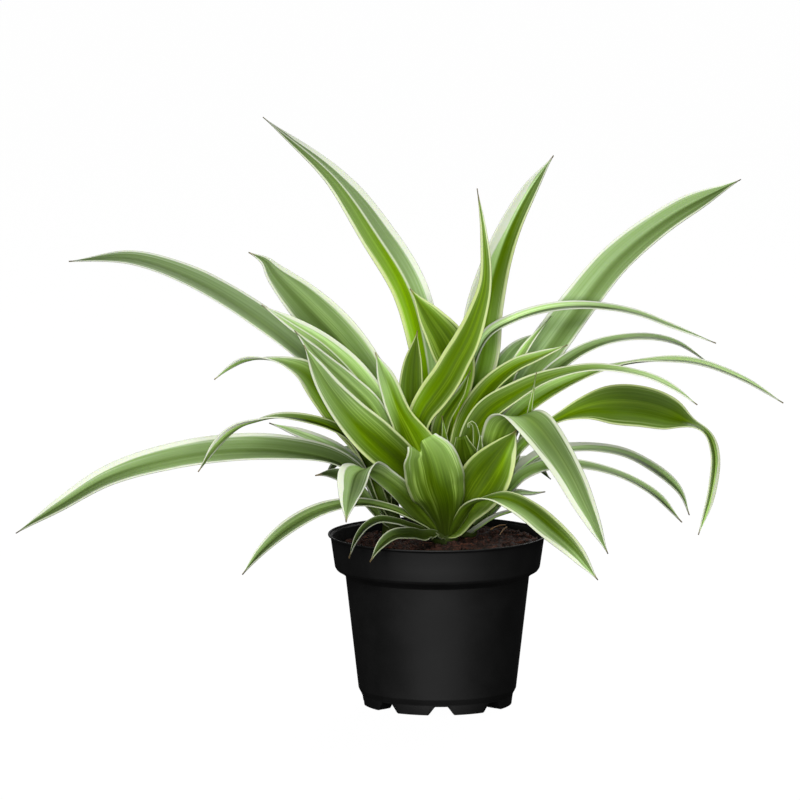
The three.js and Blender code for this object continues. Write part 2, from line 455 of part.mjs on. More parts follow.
function soilGeometry() {
  const base = POT_FLOOR_TOP + GAP;
  const wall = WALL_INSIDE.slice(0, FILLED).map(([r, z]) => [r - SOIL_GAP, z]);
  const [[low], ...rest] = wall;
  const [edge] = wall.at(-1);
  const bottom = [[0, base], [low - POT_CORNER, base], [low, base + POT_CORNER]];
  const outline = [...bottom, ...rest, [edge, SOIL_EDGE_Z]];
  for (let i = SOIL_RINGS - 1; i >= 0; i--) outline.push([(edge * i) / SOIL_RINGS, SOIL_EDGE_Z]);
  const geometry = turned(outline, SOIL_SIDES);
  const place = geometry.attributes.position;
  for (let i = 0; i < place.count; i++) {
    if (place.getZ(i) > SOIL_EDGE_Z - WELD) place.setZ(i, soilHeight(place.getX(i), place.getY(i)));
  }
  let soil = toManifold(geometry);
  for (const { x, y, radius } of Object.values(CROWNS)) {
    const hole = column(radius + GAP, CROWN_FOOT_Z - GAP, POT_HEIGHT, CROWN_HOLE_SIDES, x, y);
    soil = soil.subtract(toManifold(hole));
  }
  return toGeometry(soil);
}

// a short stem with the sheaths of its leaves and its young leaves grown on
function crownGeometry(key) {
  const { x, y, radius, top } = CROWNS[key];
  const [neck, drop] = CROWN_NECK;
  const flank = CROWN_SHAPE.map(([share, z]) => [radius * share, z]);
  const stem = turned([[0, CROWN_FOOT_Z], ...flank, [radius * neck, top - drop], [0, top]], CROWN_SIDES);
  let crown = toManifold(stem.translate(x, y, 0));
  const grown = (leaf) => leaf.crown === key;
  for (const leaf of LEAVES.filter(grown)) {
    crown = crown.add(toManifold(blade(leaf, 0, SEAM - GAP)));
  }
  for (const leaf of YOUNG_LEAVES.filter(grown)) crown = crown.add(toManifold(blade(leaf, 0, Infinity)));
  // the pockets that the sheaths close off stay filled: only the outer body is kept
  const [body] = crown.decompose().sort((a, b) => b.volume() - a.volume());
  return toGeometry(body);
}

// ---- the plant -----------------------------------------------------------------------------------
const finish = (color, roughness) => new THREE.MeshStandardMaterial({ color, roughness, metalness: 0 });
const POT_PLASTIC = finish(0x161616, 0.42);
const PEAT = finish(0x2a1a12, 0.95);
const CROWN_GREEN = finish(0x5f8a1c, 0.5);
const LEAF_GREEN = finish(0x6b9d4b, 0.5);

const plant = new THREE.Group();

function place(name, geometry, material) {
  const mesh = new THREE.Mesh(geometry, material);
  mesh.name = name;
  plant.add(mesh);
}

place('pot', potGeometry(), POT_PLASTIC);
place('soil', soilGeometry(), PEAT);
for (const key of Object.keys(CROWNS)) place(`crown_${key}`, crownGeometry(key), CROWN_GREEN);
for (const leaf of LEAVES) place(leaf.name, blade(leaf, SEAM, Infinity), LEAF_GREEN);

// the footprint's centre comes to the origin, the feet to the floor
const box = new THREE.Box3().setFromObject(plant);
const centre = box.getCenter(new THREE.Vector3());
plant.position.set(-centre.x, -centre.y, -box.min.z);
plant.updateMatrixWorld(true);

export default plant;
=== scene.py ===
"""A potted spider plant: black nursery pot, peat soil, four crowns and their striped leaves."""
import math
import random

import bmesh
import bpy
from mathutils import Matrix, Vector, noise


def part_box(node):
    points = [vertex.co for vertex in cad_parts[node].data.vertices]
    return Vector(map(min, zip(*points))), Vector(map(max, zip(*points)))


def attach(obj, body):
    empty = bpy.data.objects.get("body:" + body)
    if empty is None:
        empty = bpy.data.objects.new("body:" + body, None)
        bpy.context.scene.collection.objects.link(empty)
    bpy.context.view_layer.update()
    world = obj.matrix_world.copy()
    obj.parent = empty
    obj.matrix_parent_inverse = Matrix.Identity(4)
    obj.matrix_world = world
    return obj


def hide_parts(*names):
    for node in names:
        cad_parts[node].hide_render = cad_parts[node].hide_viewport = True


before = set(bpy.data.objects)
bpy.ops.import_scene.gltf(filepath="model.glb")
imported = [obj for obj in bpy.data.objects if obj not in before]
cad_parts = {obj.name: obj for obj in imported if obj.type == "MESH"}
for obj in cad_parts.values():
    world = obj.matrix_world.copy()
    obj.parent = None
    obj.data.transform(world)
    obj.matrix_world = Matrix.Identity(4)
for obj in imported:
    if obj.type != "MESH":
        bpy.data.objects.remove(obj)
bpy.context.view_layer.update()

MM = 0.001


# ---- where things are: millimetres from the pot's axis at floor level --------------------------
POT_LOW, POT_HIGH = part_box("pot")
POT_AXIS = Vector(((POT_LOW[0] + POT_HIGH[0]) / 2, (POT_LOW[1] + POT_HIGH[1]) / 2, 0)) / MM

VIEW_ELEVATION = math.radians(8)
VIEW_DISTANCE = 4000
VIEW_AIM = Vector((-20.5, 0, 167.7))
TO_VIEWER = Vector((0, -math.cos(VIEW_ELEVATION), math.sin(VIEW_ELEVATION)))
VIEWER = VIEW_AIM + TO_VIEWER * VIEW_DISTANCE
VIEW_LENS = 329.4
VIEW_SENSOR = 36
VIEW_REACH = 100  # metres that the camera sees
UP = Vector((0, 0, 1))


def placed(point):
    """A point in millimetres from the pot's axis, as a place in the scene."""
    return (point + POT_AXIS) * MM


def sighted(reading):
    """A reading [across, up, depth] as a point on the viewer's line of sight."""
    across, up, depth = reading
    stretch = 1 + depth / -VIEWER.y
    return Vector((VIEWER.x + (across - VIEWER.x) * stretch, depth, VIEWER.z + (up - VIEWER.z) * stretch))


# ---- the camera --------------------------------------------------------------------------------
camera_data = bpy.data.cameras.new("photo_camera")
camera_data.sensor_width = VIEW_SENSOR
camera_data.lens = VIEW_LENS
camera_data.clip_end = VIEW_REACH
camera = bpy.data.objects.new("photo_camera", camera_data)
camera.location = placed(VIEWER)
camera.rotation_euler = TO_VIEWER.to_track_quat("Z", "Y").to_euler()
bpy.context.collection.objects.link(camera)
bpy.context.scene.camera = camera


# ---- the plant's own sizes ---------------------------------------------------------------------
# where each rosette stands in the soil: x, y, stem radius and top
CROWNS = {
    "front": (4, -2, 7.5, 128),
    "left": (-25, 14, 5.5, 122),
    "right": (16, 13, 6, 128),
    "back": (2, 32, 7, 124),
}
CROWN_FOOT_Z = 74

LEAF_SKIN = 0.6  # thickness of a blade
HAIR_TIP = 0.35  # width of the dry hair at a leaf's tip
BLADE = [0.4, 0.62, 0.86, 1, 0.96, 0.82, 0.58, 0.3, 0]  # width shares of a leaf with one width
FOLD = [48, 30, 18, 12, 10, 8]  # lift of each half from the midrib, in degrees, at even steps

# Each leaf: crown, height of its root, widths, tilt or side, fold, and the readings of its spine from
# root to tip. tilt: turn of the blade about its spine, 0 when its upper face looks at the viewer and
# 180 when its underside does. side: the way its left edge points, as (across, up, to the viewer),
# for a leaf that bends over towards the viewer. A leaf with neither lies face up.
LEAVES = {
    # in front of the front crown
    "front_shield": dict(crown="front", root=84, width=[6, 8, 12, 19, 25.5, 31, 33, 31.5, 28, 17],
        tilt=[180], fold=[40, 22, 12, 8], spine=[(4.3, 92, -8.5), (4.3, 98, -13), (3.6, 105, -19),
        (2.3, 112, -24.5), (0.2, 118.5, -28), (-1.2, 124, -31), (-3, 131.5, -34), (-5.3, 138.5, -35.5),
        (-8.6, 145.3, -36)]),
    "right_cup": dict(crown="front", root=95, width=[8, 12, 17, 24, 29, 28.5, 22, 11.5, 0],
        tilt=[-8, -8, -14], fold=[40, 26, 20, 12], spine=[(10, 97, -9), (16, 108, -12),
        (25.5, 122, -14), (35, 137, -14), (43.5, 151.5, -12)]),
    "low_right_arch": dict(crown="front", root=86, width=[5, 6, 7, 8, 10, 11.5, 13, 11.5, 7.5, 0],
        side=[(0.9, -0.4, 0), (0.85, -0.5, 0), (0.3, 0, -1), (0.55, 0.75, -0.35), (0.6, 0.8, 0),
        (0.65, 0.75, 0), (0.75, 0.65, 0)], spine=[(7.5, 94, -10.5), (12.7, 102.5, -17),
        (16.5, 107.5, -21), (21, 111, -26), (27, 112.8, -31), (34, 113.2, -36), (42, 110.8, -41),
        (51, 105.5, -46), (61, 97.5, -52), (75, 84.5, -62), (88, 68, -70)]),
    "left_drooping": dict(crown="front", root=90,
        width=[6, 10, 13.5, 13.5, 12.5, 12, 15, 18.5, 16.5, 9, 0], side=[(0.7, 0.7, 0), (0.7, 0.7, 0),
        (0.7, 0.7, 0), (0.7, 0.7, 0), (0.8, 0.6, 0.1), (1, 0.1, 0.2), (1, 0, 0), (1, -0.15, 0),
        (1, -0.2, 0)], fold=[44, 34, 28, 26, 24, 26, 18, 10, 6], spine=[(-1, 96.5, -9),
        (-9.5, 106.5, -14.5), (-18.5, 116, -20), (-26.5, 122.8, -23), (-33, 127, -29), (-40, 129, -37),
        (-45.5, 126, -45), (-48, 117, -50), (-49.5, 107, -53), (-50, 100, -55)]),
    "low_left_arch": dict(crown="front", root=90, width=[6, 8, 9, 10, 11.5, 13, 12.5, 10, 6, 0],
        tilt=[60, 66, 66, 55, 45, 40], spine=[(-5, 96, -8.5), (-14, 101.3, -11.5), (-27, 107, -17),
        (-43, 110, -22), (-62, 107, -28), (-80, 98, -35), (-96, 84.5, -43), (-107, 71, -50)]),
    "low_left_small": dict(crown="front", root=90, width=[5, 6, 6, 6, 6, 4, 0], tilt=[70, 62, 50, 40],
        spine=[(-7, 94.5, -13), (-16, 98, -24), (-24, 100.5, -33), (-32, 101.3, -39),
        (-39.5, 97.3, -46), (-45, 89.5, -53), (-48.5, 80, -58)]),
    "low_left_withered": dict(crown="front", root=90, width=[6, 9, 10, 10, 9, 6, 0],
        tilt=[70, 60, 50, 35], spine=[(-2, 92, -14), (-8, 92, -27), (-16, 93.2, -40), (-25, 92, -52),
        (-32, 86, -62), (-37, 78, -67)]),

    # rising from the front crown
    "left_blade": dict(crown="front", root=99, width=[8, 14, 20, 24, 24, 20, 15, 9, 0],
        tilt=[25, 12, 12, 8], fold=[44, 34, 24, 18, 12], spine=[(-2, 106, -4), (-9, 118, -6),
        (-19, 131, -8), (-33, 144, -11), (-47, 158, -15), (-60, 175, -21), (-73, 198, -29)]),
    "centre_left": dict(crown="front", root=104, width=[8, 16, 24, 22, 14, 12, 9, 0], tilt=[10, 4, 0],
        spine=[(-1, 116, 0), (-7, 132, 2), (-15, 149, 2), (-22, 163, -1), (-27, 177, -5),
        (-34, 194, -10)]),
    "centre_tall": dict(crown="front", root=108, width=[8, 9, 10, 14, 18, 17, 15, 11, 7, 5, 2.5, 0],
        tilt=[5, 0, 0, 10], spine=[(-2, 124, 5), (-8, 140, 10), (-11, 152, 12), (-8.5, 161, 12),
        (-2.5, 170, 12), (4.5, 180, 11), (10, 190, 11), (15.5, 200, 11), (20.5, 212, 12),
        (26, 233, 14), (25, 260, 16), (21.5, 284, 19)]),
    "centre_narrow": dict(crown="front", root=110, width=[5, 6, 8, 10, 7, 0], tilt=[-10, -5],
        spine=[(4, 124, 9), (0.5, 142, 18), (2.5, 157, 20), (8, 166, 19), (13, 173, 17),
        (18, 184, 16)]),
    "upright_left": dict(crown="front", root=108, width=[6, 10, 13, 15, 14, 10, 0], tilt=[8, 0],
        spine=[(-6, 124, 9), (-12, 148, 18), (-14.5, 168, 21), (-14, 184, 22), (-11, 206, 24)]),
    "short_broad": dict(crown="front", root=106, width=[6, 8, 10, 12, 18, 22, 14, 0], tilt=[0],
        spine=[(4, 124, 14), (7, 150, 28), (10, 172, 32), (10.5, 187, 32), (5, 200, 33), (-3, 212, 34),
        (-15, 229, 35)]),
    "right_71": dict(crown="front", root=106, width=[6, 8, 13, 17, 15, 12, 8, 0],
        tilt=[-25, -40, -48, -50], spine=[(9, 120, 9), (12, 138, 16.5), (19, 159, 22), (28, 174, 22),
        (42, 186, 17), (56, 192, 11), (71, 198, 7)]),

    # from the right crown
    "right_arch_big": dict(crown="right", root=99,
        width=[7, 10, 14, 18, 20, 20.5, 18.5, 16, 13.5, 8, 0], side=[(0.94, -0.35, 0),
        (0.94, -0.35, 0), (0.94, -0.3, 0), (0.9, 0.1, -0.35), (0.8, 0.5, -0.2), (0.8, 0.6, 0),
        (0.85, 0.52, 0), (0.9, 0.45, 0)], fold=[48, 30, 16, 8, 6, 8, 10, 10], spine=[(25.5, 118, 6.5),
        (29.5, 134, 1), (33, 147.5, -2), (37.5, 155.5, -9), (45, 158.5, -18), (53, 154, -29),
        (64.5, 139.5, -42), (73.5, 124.5, -49), (80.5, 110, -54), (86.5, 97.5, -57),
        (93.5, 82.5, -60)]),
    "right_long_142": dict(crown="right", root=104, width=[6, 10, 15, 16, 14, 12, 11, 10, 8, 0],
        tilt=[-10, -15, -40, -68, -70, -62], spine=[(20.5, 120, 7.5), (17.5, 140, 10),
        (26, 158.5, 9.5), (43, 171, 3), (60, 179.5, -3), (85, 185, -14), (112, 181.5, -28),
        (130, 173.5, -36), (142, 165, -40)]),
    "right_long_189": dict(crown="right", root=103, width=[6, 10, 14, 15, 13, 10, 10, 9, 7, 0],
        tilt=[-20, -26, -32, -40, -50, -66, -84, -70, -64, -62, -60], spine=[(29, 121, 10),
        (33, 143, 15), (45, 160, 14), (62, 172.5, 11), (85, 182.5, 8), (110, 188.5, 8),
        (140, 188.5, 7), (168, 178.5, 5), (189, 166, 3)]),
    "right_149": dict(crown="right", root=104, width=[6, 9, 12, 13, 12, 9, 7, 0],
        tilt=[-30, -45, -55, -62, -66], spine=[(32, 120, 16.5), (41, 148, 21.5), (54, 173, 23),
        (72, 190, 24), (90, 199, 26), (112, 202.3, 30), (131, 198.8, 34), (149, 187.5, 38)]),
    "right_tall": dict(crown="right", root=105, width=[7, 11, 17, 21, 21, 19.5, 17.5, 15, 11, 0],
        tilt=[-5, -5, -12, -18], spine=[(26, 124, 23), (32, 150, 35), (44, 176, 41), (60, 197.5, 44),
        (78, 222, 45), (98, 246, 50), (128, 269.5, 57), (165, 289, 66)]),
    "right_inner_narrow": dict(crown="right", root=106, width=[4, 6, 7, 7, 5, 0], tilt=[-10, -10],
        spine=[(29, 124, 20), (33, 150, 28), (38, 176, 31), (47, 195, 34), (62, 214, 37)]),
    "right_bulge": dict(crown="right", root=97,
        width=[6, 8, 8, 9, 10, 9, 14, 22, 23, 19, 9, 7.5, 7, 5, 0],
        tilt=[-30, -32, -36, -42, -50, -60, -30, -10, -10, -14, -66, -52, -48, -45, -40],
        fold=[44, 30, 20, 12, 8, 8, 16], spine=[(26, 112, 5), (37, 129, 0), (46, 141.5, -5),
        (57, 151, -5), (70, 158.5, -4), (84, 163.5, -4), (100, 164.8, -4), (118, 162.5, -6),
        (134, 156.5, -9), (147, 149.5, -12), (151.5, 138, -15), (150, 118, -19), (143, 93, -22)]),
    "right_low_138": dict(crown="right", root=93, width=[6, 9, 11, 12, 11, 10, 8, 0],
        tilt=[-60, -66, -62, -48], spine=[(24, 104, 16), (35, 118, 18), (46, 129, 19), (57, 137, 20),
        (71, 140, 21), (88, 140.5, 21), (105, 136.8, 21), (123, 126.5, 20), (133, 116.5, 19),
        (138, 104, 18)]),
    "right_low_134": dict(crown="right", root=91, width=[6, 7, 8, 10, 11, 10, 9.5, 7.5, 0],
        tilt=[-20, -30, -45, -62, -66, -62, -48], spine=[(23, 99, 9), (29, 105, 8), (34.5, 111.5, 7),
        (40, 118.5, 6), (47, 125.5, 5), (58, 130.3, 3), (72, 131.5, 0), (86, 130, -2),
        (103, 124.5, -5), (120, 114.5, -9), (134, 100, -12)]),
    "right_low_59": dict(crown="right", root=92, width=[5, 7, 8, 8, 5, 0], tilt=[-60, -60],
        spine=[(26, 103, 18), (35, 111, 22), (43, 116, 25), (52, 116, 28), (59, 117, 30)]),
    "right_low_pale": dict(crown="right", root=90, width=[5, 7, 8, 7, 4, 0], tilt=[-100, -115],
        spine=[(23, 97, 3), (31, 102.5, -1), (40, 106, -5), (50, 108, -9)]),

    # from the left crown
    "left_twist": dict(crown="left", root=104, width=[6, 9, 13, 16, 18, 16, 9, 6, 0],
        tilt=[30, 25, 20, 18, 20, 36, 72, 118, 130], spine=[(-28, 118, 13), (-39, 138, 12),
        (-52, 156, 9), (-62, 170.5, 6), (-72, 182, 4), (-82, 187.3, 1), (-90, 189.6, -1),
        (-98, 190.2, -3), (-107, 189, -5), (-115, 184.6, -7), (-122, 179, -9)]),
    "left_arch_131": dict(crown="left", root=98, width=[6, 9, 11, 12, 11, 10, 10, 9, 6, 0],
        tilt=[40, 50, 60, 62, 66, 92, 128, 140], spine=[(-32, 112, 7), (-39, 131, 1), (-49, 146.5, -5),
        (-60, 153, -9), (-74, 157, -13), (-88, 158, -18), (-99, 155.7, -22), (-110, 152, -26),
        (-120, 144, -31), (-131, 128, -36)]),
    "left_long_low": dict(crown="left", root=95, width=[7, 10, 15, 19, 20, 19, 17, 13, 8, 0],
        tilt=[60, 50, 42, 38, 35, 30], spine=[(-33, 106, 12), (-40, 122, 9), (-55, 133.3, 5),
        (-82, 139, 1), (-110, 140, -4), (-145, 135.6, -10), (-180, 125.3, -17), (-207, 109.3, -23),
        (-231, 94, -28)]),
    "left_behind": dict(crown="left", root=97, width=[6, 8, 10, 10, 7, 0], tilt=[50, 45, 40],
        spine=[(-32, 110, 19), (-41, 127, 24), (-54, 139, 30), (-72, 148, 37), (-92, 155, 44)]),
    "left_low_short": dict(crown="left", root=93, width=[5, 7, 9, 10, 8, 0], tilt=[60, 45, 35],
        spine=[(-32, 102, 8), (-40, 113, 2), (-52, 125, -5), (-60, 127, -8), (-67, 126, -8)]),
    "left_mid_pale": dict(crown="left", root=108, width=[6, 9, 12, 14, 13, 9, 0], tilt=[40, 35, 30],
        spine=[(-24, 124, 6), (-28, 146, 5), (-36, 163, 3), (-50, 177, -1), (-64, 190, -6),
        (-78, 206, -11)]),
    "left_folded": dict(crown="left", root=108, width=[6, 9, 14, 17, 16, 12, 8, 0], tilt=[25, 20, 15],
        fold=[48, 40, 36, 30, 22], spine=[(-23, 124, 12), (-27, 146, 11), (-35, 166, 11),
        (-46, 182, 11), (-62, 198, 11), (-80, 210, 10), (-96, 220, 9)]),
    "left_upper_broad": dict(crown="left", root=106, width=[7, 11, 17, 23, 27, 25, 15, 0],
        tilt=[5, 5, 10], fold=[48, 36, 30, 26, 20], spine=[(-23, 124, 20), (-25, 150, 25),
        (-35, 176, 29), (-52, 199, 32), (-71, 219, 36), (-88, 236.5, 40), (-94, 244, 43),
        (-103, 249, 44)]),
    "left_long_upper": dict(crown="left", root=102, width=[6, 9, 13, 17, 19, 19, 18, 15, 10, 0],
        tilt=[40, 45, 48, 46, 48, 56], spine=[(-29, 122, 17), (-36, 146, 22), (-52, 172, 27),
        (-78, 197, 32), (-104, 217, 37), (-135, 235, 42), (-167, 245.5, 48), (-201, 244, 54)]),

    # from the back crown, tall
    "top_left_tall": dict(crown="back", root=106, width=[7, 11, 15, 18, 20, 20.5, 20, 17, 11, 5.5, 0],
        tilt=[0, 0, 4, 6], spine=[(0, 126, 36), (-3, 160, 42), (-6, 192, 48), (-15, 228, 55),
        (-33, 258.5, 62), (-56, 290, 70), (-95, 323, 82)]),
    "upright_right": dict(crown="back", root=106, width=[7, 11, 17, 23, 26, 24, 19, 14, 9, 0],
        tilt=[-6, -4, -4], fold=[48, 36, 34, 34, 30, 24], spine=[(6, 126, 37), (14, 158, 44),
        (23, 190, 48), (26, 218, 52), (36, 254, 58), (49, 281, 64), (63, 302, 70)]),
    "right_thin_arc": dict(crown="back", root=104, width=[5, 8, 10, 11, 11, 11, 10, 8, 5, 0],
        tilt=[-10, -30, -55, -64, -64, -62, -55], spine=[(8, 124, 33), (14, 156, 38.5),
        (20, 188, 38.5), (28, 203.5, 36), (42, 212, 33), (62, 218, 28), (85, 219.3, 26),
        (108, 215.5, 22), (128, 208.3, 20), (152, 199, 16)]),
    "right_inner": dict(crown="back", root=103, width=[6, 9, 13, 14, 11, 0], tilt=[-15, -20],
        spine=[(10, 122, 39), (20, 150, 49), (31, 177, 54), (44, 197, 57), (58, 206, 60)]),

    # hidden from the front: they fill the far side and arch away from the viewer
    "back_left": dict(crown="back", root=100, width=20, spine=[(-6, 122, 42), (-12, 146, 60),
        (-20, 158, 90), (-28, 158, 125), (-36, 148, 160)]),
    "back_right": dict(crown="back", root=102, width=22, spine=[(7, 122, 46), (13, 150, 66),
        (23, 165, 94), (34, 168, 130), (44, 160, 168)]),
    "back_tall": dict(crown="back", root=107, width=19, spine=[(3, 128, 43), (9, 162, 60),
        (15, 188, 82), (22, 202, 110), (28, 202, 140)]),
    "back_low_right": dict(crown="back", root=95, width=18, spine=[(11, 108, 42), (23, 124, 62),
        (38, 132, 90), (52, 132, 118), (62, 124, 142)]),
    "back_low_left": dict(crown="back", root=95, width=18, spine=[(-7, 108, 42), (-21, 126, 60),
        (-38, 134, 84), (-52, 134, 110), (-62, 126, 134)]),
    "back_low": dict(crown="back", root=94, width=16, spine=[(3, 104, 46), (5, 116, 68), (8, 122, 96),
        (10, 118, 122)]),
    "back_side_right": dict(crown="right", root=96, width=17, spine=[(31, 110, 19), (40, 126, 40),
        (52, 134, 64), (60, 134, 90), (66, 126, 114)]),
    "back_side_left": dict(crown="left", root=99, width=17, spine=[(-28, 114, 24), (-36, 130, 44),
        (-46, 140, 68), (-54, 141, 94), (-60, 134, 118)]),
}

# young leaves in the hearts of the crowns
YOUNG_LEAVES = {
    "front_young": dict(crown="front", root=112, width=[4, 5, 4, 0], tilt=[0], spine=[(4, 128, -1),
        (4, 145, -4), (2.5, 159, -6)]),
    "right_young_broad": dict(crown="right", root=112, width=[6, 13, 17, 16, 6], tilt=[180],
        spine=[(18, 124, -2), (15, 136, -9), (13, 147.5, -12)]),
    "right_young_curled": dict(crown="right", root=112, width=[6, 12, 16, 13, 6, 3, 1], tilt=[-6],
        spine=[(21, 124, 0), (22.5, 136, -5), (21.5, 147, -8), (19.8, 154.5, -10),
        (17.5, 155.5, -11.5), (17, 152.5, -12.5)]),
    "right_young_small": dict(crown="right", root=114, width=[4, 6, 6, 1], tilt=[0],
        spine=[(24, 130, -5), (23.5, 140, -11), (23.5, 148, -13)]),
    "right_young_thin": dict(crown="right", root=112, width=[4, 4, 3, 2.5, 0], tilt=[0],
        spine=[(40, 130, 9), (46, 147, 6), (49.5, 157, -2), (51, 165, -11), (54, 183, -15)]),
    "left_young": dict(crown="left", root=108, width=[4, 6, 5, 0], tilt=[0], spine=[(-24, 124, 16),
        (-24, 136, 17), (-24, 146, 17)]),
    "back_young": dict(crown="back", root=110, width=[4, 6, 5, 0], tilt=[0], spine=[(-1, 126, 32),
        (-3, 142, 32), (-4, 154, 32)]),
}


